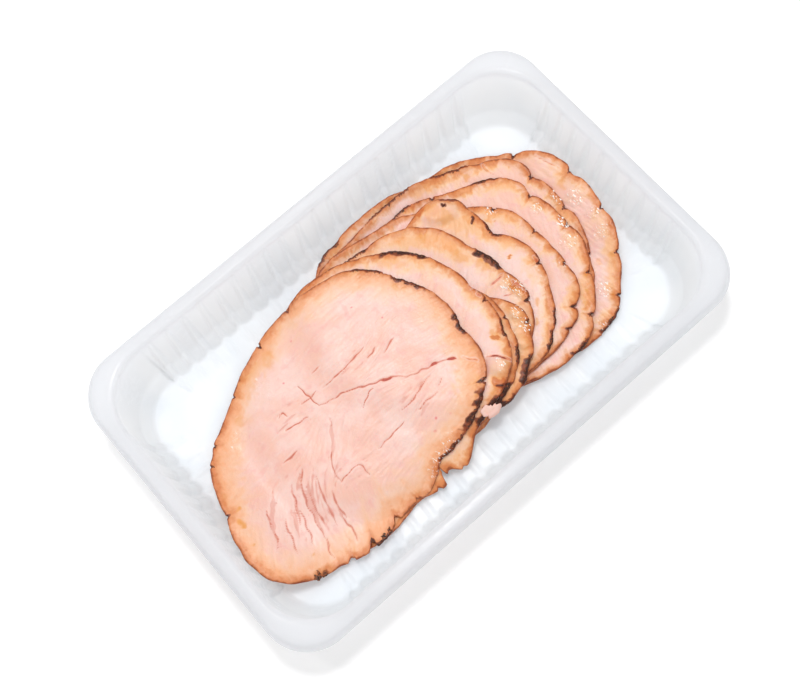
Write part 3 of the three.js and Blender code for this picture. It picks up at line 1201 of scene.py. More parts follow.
    def build(self, pile: Pile, outline: Outline) -> bpy.types.Object:
        """Makes the slice's mesh, finish and place in the frame.

        Args:
            pile: How the slices settle.
            outline: The slice's outline, from its solid.

        Returns:
            The finished piece.
        """
        turns = -math.pi + np.arange(self.around) * 2 * math.pi / self.around
        radius = self._rim(outline, turns)
        rows, sides = self._rows(outline, turns, radius)
        half = pile.thickness / 2
        x = (outline.middle[0] + rows * np.cos(turns)).ravel()
        y = (outline.middle[1] + rows * np.sin(turns)).ravel()
        side = np.repeat(sides, self.around)
        x = np.concatenate([[outline.middle[0]], x, [outline.middle[0]]])
        y = np.concatenate([[outline.middle[1]], y, [outline.middle[1]]])
        side = np.concatenate([[1.0], side, [-1.0]])

        slope = np.gradient(np.concatenate([radius[-1:], radius, radius[:1]]))[1:-1]
        lean = 1 / np.hypot(1, slope / (radius * 2 * math.pi / self.around))
        inside = np.clip((radius - rows) * circular_blur(lean, 3), 0, None).ravel()
        centre = [radius.mean()]
        rim = np.concatenate([centre, inside, centre])
        grain = self.grain or Grain(((outline.middle[0], outline.middle[1], self.finish.grain),))
        broad = grain.streaks(x, y, 1.5, 14.0, self.seed + 60)
        thin = grain.streaks(x, y, 0.75, 8.0, self.seed + 61)
        fibre = 0.35 * broad + 0.7 * thin
        beyond, depth = stroke_field(x, y, self.cracks, self.seed + 10)
        open_to = stroke_mask(x, y, self.splits, self.seed + 15)
        parted = np.minimum((1.2 + thin) * 0.42, (1.8 + broad) * 0.6) + (1 - open_to) * 0.8
        depth = np.where(parted < beyond, open_to * 0.42, depth)
        beyond = np.minimum(beyond, np.where(open_to > 0.05, parted, REACH))
        crack = depth * (1 - easing(-0.3, 0.7, beyond))
        char = self._char(outline, x, y, rim)
        char = np.maximum(char, stroke_mask(x, y, self.burns, self.seed + 20))
        upper = (side + 1) / 2
        crusty = np.clip(char, 0, 1) * np.clip(ripple(x, y, 1.6, self.seed + 5), 0, 1)
        crusty = crusty * self.crust_height
        lift = self._relief(x, y, crack, fibre) * easing(0.0, 2.5, rim) + crusty
        fold = self._lobes(x, y)
        z = pile.underside(self.level, x, y) + half + side * half + upper * (lift + fold)
        marks = {
            Mark.RIM.value: rim,
            Mark.CHAR.value: char,
            Mark.CRACK.value: np.where(side > 0.5, beyond, REACH),
            Mark.DEPTH.value: depth,
            Mark.TOAST.value: stroke_mask(x, y, self.stains, self.seed + 30),
            Mark.GOLD.value: stroke_mask(x, y, self.golds, self.seed + 35),
            Mark.FIBRE.value: fibre,
            Mark.WET.value: stroke_mask(x, y, self.glints, self.seed + 40),
            Mark.BLUSH.value: stroke_mask(x, y, self.blushes, self.seed + 45),
        }
        points = np.stack([x, y, z], 1)
        piece = write_mesh(self.node + "_meat", points, self._faces(len(rows)), marks)
        piece.data.materials.append(self.finish.build())
        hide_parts(self.node)
        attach(piece, "root")
        self._keep_rim(rows, turns, outline, pile, char)
        return piece

    def _keep_rim(
        self,
        rows: np.ndarray,
        turns: np.ndarray,
        outline: Outline,
        pile: Pile,
        char: np.ndarray,
    ) -> None:
        """Notes where burnt flecks may cling along the rim, and how thickly.

        Args:
            rows: Each ring's radii.
            turns: The directions of the points, in radians.
            outline: The slice's outline.
            pile: How the slices settle.
            char: How burnt each point is.
        """
        ring = len(self._ring_shares(outline)) - 1
        row = rows[ring] + 0.3
        x = outline.middle[0] + row * np.cos(turns)
        y = outline.middle[1] + row * np.sin(turns)
        z = pile.underside(self.level, x, y) + pile.thickness
        start = 1 + (ring + 1) * self.around
        self.rim_places = np.stack([x, y, z], 1)
        self.rim_char = char[start : start + self.around]


@dataclass
class Tray:
    """The formed plastic tray: rim, fluted walls, stepped foot and ribbed floor."""

    length: float = 230.0
    width: float = 144.0
    height: float = 35.0
    sheet: float = 0.6
    skirt_drop: float = 5.0
    skirt_flare: float = 1.6
    flange: float = 5.4
    rim_radius: float = 19.5
    mouth_radius: float = 23.0
    pitch_long: float = 8.4
    pitch_short: float = 7.9
    reach_long: float = 84.0
    reach_short: float = 39.5
    ring_step: float = 1.0
    long_steps: int = 260
    short_steps: int = 130
    corner_steps: int = 30
    foot: float = 3.5  # height over which the wall's two faces meet the floor's
    border: float = 0.75  # share of a flute over which it rises
    carried: tuple[str, ...] = ("out", "along", "pitch", "reach", "half", "bulge", "rib")

    def _levels(self) -> np.ndarray:
        """The profile, from the skirt's edge to the floor.

        Returns:
            Rows of half length, half width, corner radius, height, flute half width, flute bulge
            and rib height.
        """
        edge_x, edge_y = self.length / 2, self.width / 2
        crest_x, crest_y = edge_x - self.skirt_flare, edge_y - self.skirt_flare
        mouth_x, mouth_y = crest_x - self.flange, crest_y - self.flange
        crest_radius = self.rim_radius - self.skirt_flare
        top, floor = self.height, self.sheet
        return np.array(
            [
                (edge_x, edge_y, self.rim_radius, top - self.skirt_drop, 1, 0, 0),
                (crest_x, crest_y, crest_radius, top, 1, 0, 0),
                (mouth_x, mouth_y, self.mouth_radius, top, 1, 0, 0),
                (mouth_x - 0.6, mouth_y - 0.6, 22.6, top - 1.6, 0.9, 0.0, 0),
                (mouth_x - 0.8, mouth_y - 0.8, 22.4, top - 3.2, 1.3, 0.5, 0),
                (mouth_x - 3.5, mouth_y - 4.2, 21.5, 6.7, 2.65, 1.6, 0),
                (mouth_x - 5.3, mouth_y - 6.0, 19.5, 4.6, 2.65, 1.6, 0),
                (mouth_x - 6.9, mouth_y - 8.0, 18.5, floor, 2.5, 1.1, 0),
                (mouth_x - 8.4, mouth_y - 9.5, 17.5, floor, 2.2, 0.5, 0.5),
                (mouth_x - 14, mouth_y - 15, 14, floor, 1.8, 0, 0.45),
                (mouth_x - 19, mouth_y - 20, 11, floor, 1.4, 0, 0),
            ],
            dtype=float,
        )

    def _profile(self) -> np.ndarray:
        """Resamples the levels evenly and rounds their corners.

        Returns:
            Rows as in the levels.
        """
        levels = self._levels()
        gaps = np.hypot(np.diff(levels[:, 0]), np.diff(levels[:, 3]))
        place = np.concatenate([[0], np.cumsum(gaps)])
        count = int(place[-1] / self.ring_step)
        even = np.linspace(0, place[-1], count)
        rows = np.stack([np.interp(even, place, column) for column in levels.T], 1)
        soft = rows.copy()
        soft[1:-1] = 0.2 * soft[:-2] + 0.6 * soft[1:-1] + 0.2 * soft[2:]
        return soft

    def _loop(self, half_x: float, half_y: float, radius: float) -> tuple[np.ndarray, ...]:
        """One closed loop of points.

        Args:
            half_x: Half its length.
            half_y: Half its width.
            radius: Corner radius.

        Returns:
            Points, outward directions, and for each point its place along its side, that side's
            flute pitch and the reach of its flutes.
        """
        points, outs, along, pitch, reach = [], [], [], [], []
        for side in range(4):
            across = side % 2 == 0
            steps = self.short_steps if across else self.long_steps
            span = (half_y if across else half_x) - radius
            gap = self.pitch_short if across else self.pitch_long
            last = self.reach_short if across else self.reach_long
            turn = side * math.pi / 2
            out = np.array([math.cos(turn), math.sin(turn)])
            ahead = np.array([-out[1], out[0]])
            far = half_x if across else half_y
            s = np.linspace(-span, span, steps, endpoint=False)
            points.append(out * far + s[:, None] * ahead)
            outs.append(np.tile(out, (steps, 1)))
            along.append(s)
            corner = out * (far - radius) + ahead * span
            turns = turn + np.linspace(0, math.pi / 2, self.corner_steps, endpoint=False)
            rays = np.stack([np.cos(turns), np.sin(turns)], 1)
            points.append(corner + radius * rays)
            outs.append(rays)
            along.append(np.full(self.corner_steps, last + 9.0))
            pitch.append(np.full(steps + self.corner_steps, gap))
            reach.append(np.full(steps + self.corner_steps, last))
        joined = (points, outs, along, pitch, reach)
        return tuple(np.concatenate(rows) for rows in joined)

    def _face(self, rows: np.ndarray, shift: float) -> tuple[np.ndarray, dict[str, np.ndarray]]:
        """One face of the sheet, from the skirt's edge in to the middle of the floor.

        Args:
            rows: The profile.
            shift: 0 for the upper face, the sheet's thickness for the lower one.

        Returns:
            Its points, ring by ring, and the values for pressing the flutes.
        """
        crest = int(np.argmax(rows[:, 3]))
        points, marks = [], {key: [] for key in self.carried}
        for i, (half_x, half_y, radius, z, *pressed) in enumerate(rows):
            on_floor = easing(self.sheet + self.foot, self.sheet, np.array(z))
            out_by = (-shift if i < crest else shift) * (1 - float(on_floor))
            spot, out, along, pitch, reach = self._loop(
                half_x + out_by, half_y + out_by, radius + out_by
            )
            whole = np.ones(len(spot))
            drop = shift if i >= crest - 1 else 0.0
            points.append(np.column_stack([spot, (z - drop) * whole]))
            ring = (np.column_stack([out, 0 * whole]), along, pitch, reach)
            ring += tuple(value * whole for value in pressed)
            for blocks, values in zip(marks.values(), ring):
                blocks.append(values)
        inner = points[-1]
        for share in (0.72, 0.4, 0.12):
            points.append(inner * (share, share, 1.0))
            for key, blocks in marks.items():
                blocks.append(blocks[-1] * (key not in ("bulge", "rib")))
        values = {key: np.concatenate(blocks) for key, blocks in marks.items()}
        return np.concatenate(points), values

    @staticmethod
    def _press_tree() -> bpy.types.GeometryNodeTree:
        """Nodes that press the flutes and floor ribs into the sheet.

        Returns:
            A tree with inputs for their depth and for how soft their borders are.
        """
        tree, bench, (source, depth, border, finish) = new_tree(
            "press_flutes", {"Depth": "Float", "Border": "Float", "Finish": "Material"}
        )
        along = bench.carried("along")
        cell = bench.math("FRACT", along / bench.carried("pitch"))
        off = bench.math("ABSOLUTE", cell - 0.5) * bench.carried("pitch") / bench.carried("half")
        flute = bench.span(off, 1 - border, 1.0, 1.0, 0.0)
        past = bench.math("ABSOLUTE", along) - bench.carried("reach")
        ended = bench.span(past, -1.2, 1.2)
        pressed = bench.math("MAXIMUM", flute, ended) * bench.carried("bulge") * depth * MM
        out = bench.vector("SCALE", bench.carried("out", "FLOAT_VECTOR"), pressed)
        ribbed = flute * (1 - ended) * bench.carried("rib") * depth * MM
        rise = bench.node("ShaderNodeCombineXYZ", inputs={"Z": ribbed})
        inputs = {"Geometry": source, "Offset": bench.vector("ADD", out, rise)}
        end_tree(bench, bench.node("GeometryNodeSetPosition", inputs=inputs), finish)
        return tree

    def build(self, finish: SheetFinish) -> bpy.types.Object:
        """Makes the tray in place of its solid.

        Args:
            finish: The plastic.

        Returns:
            The finished piece.
        """
        rows = self._profile()
        upper, upper_marks = self._face(rows, 0.0)
        sparse = np.unique(np.append(np.arange(0, len(rows), 2), len(rows) - 1))
        lower, lower_marks = self._face(rows[sparse], self.sheet)
        around = 2 * (self.long_steps + self.short_steps) + 4 * self.corner_steps
        rings_up, rings_low = len(upper) // around, len(lower) // around
        middle_up = len(upper) + len(lower)
        points = np.concatenate([upper, lower, [[0, 0, self.sheet], [0, 0, 0]]])
        first = np.arange(around)
        nextly = (first + 1) % around
        rim = np.stack([len(upper) + first, len(upper) + nextly, nextly, first], 1)
        end_up, end_low = (rings_up - 1) * around, len(upper) + (rings_low - 1) * around
        cap_up = np.stack([end_up + first, end_up + nextly, np.full(around, middle_up)], 1)
        cap_low = np.stack([end_low + nextly, end_low + first, np.full(around, middle_up + 1)], 1)
        quads_up = ring_faces(rings_up, around)
        quads_low = ring_faces(rings_low, around, len(upper))[:, ::-1]
        marks = {}
        for key, values in upper_marks.items():
            spare = np.zeros((2, *values.shape[1:]))
            if key in ("pitch", "half"):
                spare += 1.0
            marks[key] = np.concatenate([values, lower_marks[key], spare])
        faces = [quads_up, quads_low, rim, cap_up, cap_low]
        draft = write_mesh("tray_draft", points, faces, marks)
        values = {"Depth": 1.0, "Border": self.border, "Finish": finish.build()}
        piece = grown(draft, self._press_tree(), values, "tray_sheet")
        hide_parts("tray")
        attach(piece, "root")
        return piece


@dataclass
class Flecks:
    """Burnt flecks of crust that cling along the rims."""

    size: float = 0.42
    chance: float = 0.32
    seed: int = 7
    clumps: tuple[tuple[float, float, float, int], ...] = (
        (-87.2, -44.9, 0.8, 26), (-85.4, -46.0, 0.5, 9),
        (-58.4, -50.0, 0.5, 9), (-54.6, -49.8, 0.5, 7),
    )  # places along X and Y, spread and number of crumbs stuck together
    clumped_size: float = 1.9  # how much larger those crumbs are
    most_tilt: float = 0.35
    least_shape: Spot = (0.5, 0.35, 0.25)
    most_shape: Spot = (1.7, 1.0, 0.55)
    lump_scale: float = 1900.0
    lump_size: float = 0.9

    def _clumped(self, pile: Pile) -> np.ndarray:
        """Scatters the crumbs of the clumps on the topmost slice.

        Args:
            pile: How the slices settle.

        Returns:
            Their places.
        """
        draw = np.random.default_rng(self.seed)
        spots = np.concatenate(
            [draw.normal((x, y), spread, (count, 2)) for x, y, spread, count in self.clumps]
        )
        rise = pile.underside(9, spots[:, 0], spots[:, 1]) + draw.uniform(0.4, 1.7, len(spots))
        return np.column_stack([spots, rise])

    def _scatter_tree(self) -> bpy.types.GeometryNodeTree:
        """Nodes that set flecks on a share of the points.

        Returns:
            A tree with inputs for the flecks' size, chance, seed and finish.
        """
        tree, bench, (source, size, chance, seed, finish) = new_tree(
            "scatter_flecks",
            {"Size": "Float", "Chance": "Float", "Seed": "Int", "Finish": "Material"},
        )

        def drawn(low: Spot, high: Spot) -> Wire:
            """A random vector for every fleck."""
            inputs = {0: low, 1: high, "Seed": seed}
            return bench.node("FunctionNodeRandomValue", {"data_type": "FLOAT_VECTOR"}, inputs)

        weight, plump = bench.carried("weight"), bench.carried("plump")
        draw = bench.node("FunctionNodeRandomValue", {"data_type": "FLOAT"}, {"Seed": seed}, 1)
        kept = bench.node(
            "FunctionNodeCompare", {"operation": "LESS_THAN"}, {0: draw, 1: weight * chance}
        )
        dots = bench.node("GeometryNodeMeshToPoints", inputs={"Mesh": source, "Selection": kept})
        ball = bench.node("GeometryNodeMeshIcoSphere", inputs={"Radius": 1.0, "Subdivisions": 2})
        tilt = self.most_tilt
        turn = drawn((-tilt, -tilt, 0.0), (tilt, tilt, 6.28))
        scale = bench.vector("SCALE", drawn(self.least_shape, self.most_shape), size * plump * MM)
        inputs = {"Points": dots, "Instance": ball, "Rotation": turn, "Scale": scale}
        flecks = bench.node("GeometryNodeInstanceOnPoints", inputs=inputs)
        whole = bench.node("GeometryNodeRealizeInstances", inputs={"Geometry": flecks})
        place = bench.node("GeometryNodeInputPosition")
        inputs = {"Vector": place, "Scale": self.lump_scale, "Detail": 1.0}
        lumps = bench.node("ShaderNodeTexNoise", inputs=inputs, output=1)
        push = bench.vector("SUBTRACT", lumps, (0.5, 0.5, 0.5))
        offset = bench.vector("SCALE", push, size * self.lump_size * MM)
        inputs = {"Geometry": whole, "Offset": offset}
        end_tree(bench, bench.node("GeometryNodeSetPosition", inputs=inputs), finish)
        return tree

    def build(self, slices: list[Slice], pile: Pile, finish: CrumbFinish) -> bpy.types.Object:
        """Sets the flecks on the rims of the finished slices.

        Args:
            slices: Slices whose rims were noted when they were built.
            pile: How the slices settle.
            finish: The burnt crust.

        Returns:
            All flecks as one piece.
        """
        clumped = self._clumped(pile)
        places = np.concatenate([one.rim_places for one in slices] + [clumped])
        weights = [easing(0.45, 1.0, one.rim_char) for one in slices]
        weight = np.concatenate(weights + [np.full(len(clumped), 1 / self.chance)])
        plump = np.ones(len(places))
        plump[-len(clumped) :] = self.clumped_size
        marks = {"weight": weight, "plump": plump}
        draft = write_mesh("fleck_places", places, np.empty((0, 3), int), marks)
        values = {
            "Size": self.size,
            "Chance": self.chance,
            "Seed": self.seed,
            "Finish": finish.build(),
        }
        piece = grown(draft, self._scatter_tree(), values, "crust_flecks")
        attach(piece, "root")
        return piece


@dataclass(frozen=True)
class Studio:
    """Camera, lights and floor."""

    place: Spot = (-0.0764, -0.1222, 0.4923)
    right: Spot = (0.75389, -0.6546, -0.05605)
    down: Spot = (-0.64112, -0.71435, -0.28048)
    ahead: Spot = (0.14357, 0.24739, -0.95822)
    lens: float = 55.6
    sky: float = 0.64
    key_power: float = 1.9
    key_place: Spot = (0.03, 0.07, 0.73)
    key_size: float = 0.12
    sparkle_places: tuple[Spot, ...] = ((-0.25, 0.2, 0.66), (0.12, 0.34, 0.62))
    sparkle_size: float = 0.05
    sparkle_power: float = 0.3
    floor_half: float = 3.0
    floor_gap: float = 0.05  # millimetres from the floor up to the tray
    table_glow: float = 0.16  # the floor is a lit table, as for pictures of clear packs

    def _camera(self) -> None:
        """Sets the camera where the photographer's was."""
        camera = bpy.data.cameras.new("camera")
        camera.lens = self.lens
        camera.sensor_width = 36.0
        camera.clip_start = 0.01
        body = bpy.data.objects.new("camera", camera)
        columns = [self.right, [-v for v in self.down], [-v for v in self.ahead]]
        turn = Matrix([list(row) for row in zip(*columns)]).to_4x4()
        body.matrix_world = Matrix.Translation(self.place) @ turn
        bpy.context.scene.collection.objects.link(body)
        bpy.context.scene.camera = body

    def _lights(self) -> None:
        """A bright even surround, and one soft key from the far side."""
        world = bpy.data.worlds.new("surround")
        bpy.context.scene.world = world
        world.use_nodes = True
        bench = Bench(world.node_tree)
        inputs = {"Color": (1, 1, 1, 1), "Strength": self.sky}
        glow = bench.node("ShaderNodeBackground", inputs=inputs)
        bench.node("ShaderNodeOutputWorld", inputs={"Surface": glow})
        self._lamp("key", self.key_place, self.key_size, self.key_power)
        for number, place in enumerate(self.sparkle_places):
            self._lamp(f"sparkle_{number}", place, self.sparkle_size, self.sparkle_power)

    @staticmethod
    def _lamp(name: str, place: Spot, size: float, power: float) -> None:
        """Hangs a round lamp that faces the middle of the object.

        Args:
            name: The lamp's name.
            place: Where it hangs, in metres.
            size: Its width.
            power: Its power, in watts.
        """
        lamp = bpy.data.lights.new(name, "AREA")
        lamp.shape = "DISK"
        lamp.size = size
        lamp.energy = power
        body = bpy.data.objects.new(name, lamp)
        seat = Matrix.Translation(place)
        aim = -seat.to_translation()
        body.matrix_world = seat @ aim.to_track_quat("-Z", "Y").to_matrix().to_4x4()
        bpy.context.scene.collection.objects.link(body)

    def _floor(self) -> None:
        """A plain pale floor."""
        ends = np.array([(-1, -1, 0), (1, -1, 0), (1, 1, 0), (-1, 1, 0)]) * self.floor_half / MM
        floor = write_mesh("floor", ends - (0, 0, self.floor_gap), np.array([[0, 1, 2, 3]]))
        material, bench = new_material("pale_floor")
        soft = bench.noise(bench.places(), 3.0)
        colour = bench.mix(soft, screen(252, 252, 252), screen(254, 254, 254))
        inputs = {
            "Specular IOR Level": 0.1,
            "Emission Color": (1, 1, 1, 1),
            "Emission Strength": self.table_glow,
        }
        shader = bench.surface(colour, 0.9, inputs)
        finish_surface(bench, shader)
        floor.data.materials.append(material)

    def build(self) -> None:
        """Sets up the whole studio."""
        self._camera()
        self._lights()
        self._floor()
        bpy.context.scene.view_settings.view_transform = "Standard"


def cracks(*paths: tuple[Point, ...], width: float, strength: float) -> tuple[Stroke, ...]:
    """Several cracks of one width."""
    return tuple(Stroke(path, width, strength) for path in paths)


def dots(*places: Point, width: float = 0.9, strength: float = 0.8) -> tuple[Stroke, ...]:
    """Several round marks."""
    return tuple(Stroke((place,), width, strength) for place in places)


SEAM = cracks(
    ((-44.3, 5.5), (-32.8, 2.5), (-23.4, -2.8), (-15.0, -5.9), (-10.4, -10.3)),
    ((-10.4, -10.3), (-6.2, -11.6), (1.0, -13.6), (6.7, -15.6), (8.6, -17.7)), width=0.2,
    strength=0.8,
)
HEARTS = cracks(
    ((-19.5, -4.4), (-14.6, -6.6)), ((-1.0, -13.0), (2.6, -14.0)), ((6.2, -15.2), (8.6, -17.4)),
    width=0.55, strength=1.0,
)
FINE_CRACKS = cracks(
    ((-38.7, 10.1), (-26.0, 9.0), (-21.2, 10.2), (-15.6, 10.6)), ((-17.3, 6.1), (-12.0, 7.4)),
    ((-11.2, 3.4), (-3.8, 5.7)), ((-38.0, 17.3), (-33.9, 17.5)),
    ((-45.3, 17.7), (-44.7, 11.4), (-44.3, 5.5)), ((-48.9, 11.0), (-44.9, 10.5), (-40.7, 10.9)),
    ((-59.5, 13.1), (-56.4, 14.2), (-56.5, 11.5)), ((-60.7, 7.1), (-50.5, 5.3)),
    ((-44.2, -1.2), (-48.5, -8.1), (-53.5, -12.8), (-57.3, -18.4), (-57.2, -23.7)),
    ((-57.2, -23.7), (-49.6, -22.2), (-46.4, -24.0), (-47.1, -29.1)),
    ((-31.6, -7.2), (-26.3, -4.3), (-23.6, -4.8)),
    ((-20.4, -18.7), (-16.0, -19.1), (-13.3, -17.9), (-8.0, -16.6), (-3.5, -15.7)),
    ((-16.2, -23.0), (-11.0, -23.1), (-5.7, -22.5)), ((-4.1, -21.2), (-0.2, -19.8)),
    ((-37.2, -23.7), (-30.3, -23.1), (-22.8, -22.5)), ((11.2, -18.9), (14.6, -24.1)), width=0.12,
    strength=0.95,
)
WIDE_CLEFTS = cracks(
    ((-80.4, -7.4), (-87.4, -15.8), (-90.7, -22.7)),
    ((-70.0, -16.0), (-73.6, -25.0), (-75.6, -33.0)),
    ((-45.6, -3.2), (-48.9, -8.6), (-53.2, -13.0)), width=0.75, strength=0.34,
)
LOWER_FAN = cracks(
    ((-79.8, -6.6), (-87.2, -15.6), (-90.5, -22.6), (-93.4, -27.7)),
    ((-86.8, -11.6), (-90.2, -19.2)), ((-83.5, -18.8), (-86.0, -25.5), (-88.4, -33.0)),
    ((-66.0, -9.2), (-68.6, -12.2)), ((-74.1, -12.6), (-77.6, -19.4), (-80.4, -25.1)),
    ((-76.7, -20.2), (-79.1, -28.2), (-81.7, -35.0)),
    ((-67.7, -9.5), (-73.1, -19.6), (-75.2, -29.6), (-76.7, -38.4)),
    ((-68.9, -15.6), (-71.9, -24.7), (-73.3, -33.3)),
    ((-63.1, -14.9), (-66.7, -23.6), (-69.5, -34.7)),
    ((-62.4, -23.6), (-64.6, -29.4), (-64.7, -35.1)),
    ((-66.0, -32.0), (-65.9, -39.9), (-67.1, -44.8)),
    ((-75.5, -35.4), (-78.9, -40.4), (-78.9, -43.4)), ((-69.6, -2.0), (-62.6, -2.1)), width=0.3,
    strength=0.7,
)
BLOOD_SPOTS = dots(
    (-8.8, 26.5), (-2.2, 15.0), (8.1, 22.2), (-49.0, 22.5), (-35.2, 33.8), (-13.1, -30.0),
    (-7.2, -32.6), (-16.3, -33.6), (-92.8, 8.5),
)
FRONT_GRAIN = Grain(
    (
        (-28.3, 10.8, 0), (-11.7, 6.4, 18), (-13.3, -7.1, -24), (-12.7, -18.2, 12),
        (-35.4, -27.5, 8), (-11.1, -39.2, 18), (-51.0, 13.9, -12), (-60.3, 7.7, -4),
        (-73.7, -0.4, 6), (-50.6, -9.8, 51), (-87.4, -17.3, 55), (-73.2, -21.5, 61),
        (-69.1, -33.1, 83), (-54.1, -34.8, 76), (-49.5, -25.2, -12), (-56.6, 35.5, 8),
        (8.4, 3.6, -12), (-16.5, 36.9, -2), (-89.6, 9.2, 18), (-101.0, -28.4, 58),
    ),
)
FRONT_SPLITS = each(
    Stroke, (((-61.9, -14.0), (-75.5, -19.3), (-87.0, -27.0)), 17.0, 1.0),
    (((-56.0, -10.0), (-63.6, -22.5), (-71.0, -36.0)), 12.0, 0.9),
    (((-43.5, 5.6), (-55.2, 11.4), (-63.6, 8.8)), 9.0, 0.7),
    (((-31.5, 9.7), (-16.2, 8.3)), 8.0, 0.6),
    (((-28.3, -21.8), (-10.6, -18.0), (-1.8, -19.6)), 10.0, 0.7),
    (((-52.8, -24.3), (-42.0, -25.7)), 7.0, 0.7),
)
FRONT_STAINS = each(
    Stroke, (((-29, 45), (-46, 42), (-62, 35), (-77, 27)), 9.0, 0.3),
    (((-77, 27), (-90, 17), (-97, 4), (-103, -12)), 13.0, 0.36),
    (((-103, -12), (-103, -28), (-96, -42)), 7.0, 0.2),
    (((21, 1), (18, -17), (8, -32), (-3, -41)), 13.0, 0.55),
    (((-3, -41), (-19, -44), (-33, -49)), 11.0, 0.5),
    (((-33, -49), (-51, -51), (-71, -50)), 7.0, 0.4), (((-10, 41), (10, 30), (20, 12)), 7.0, 0.3),
    (((-20, -43), (-28, -47)), 5.0, 0.85),
)
FRONT_GOLDS = each(
    Stroke, (((-97.2, -7.7), (-97.7, -13.3)), 1.8, 0.9), (((-93.2, -4.7), (-96.8, -6.0)), 1.0, 0.7),
    (((-98.7, -19.5), (-99.1, -21.1)), 1.2, 0.7), (((-44.7, 39.5), (-49.8, 30.4)), 4.0, 0.35),
    (((-74.3, 21.9), (-69.7, 26.2)), 3.5, 0.4), (((-83.7, -36.4), (-84.1, -38.1)), 1.0, 0.6),
)


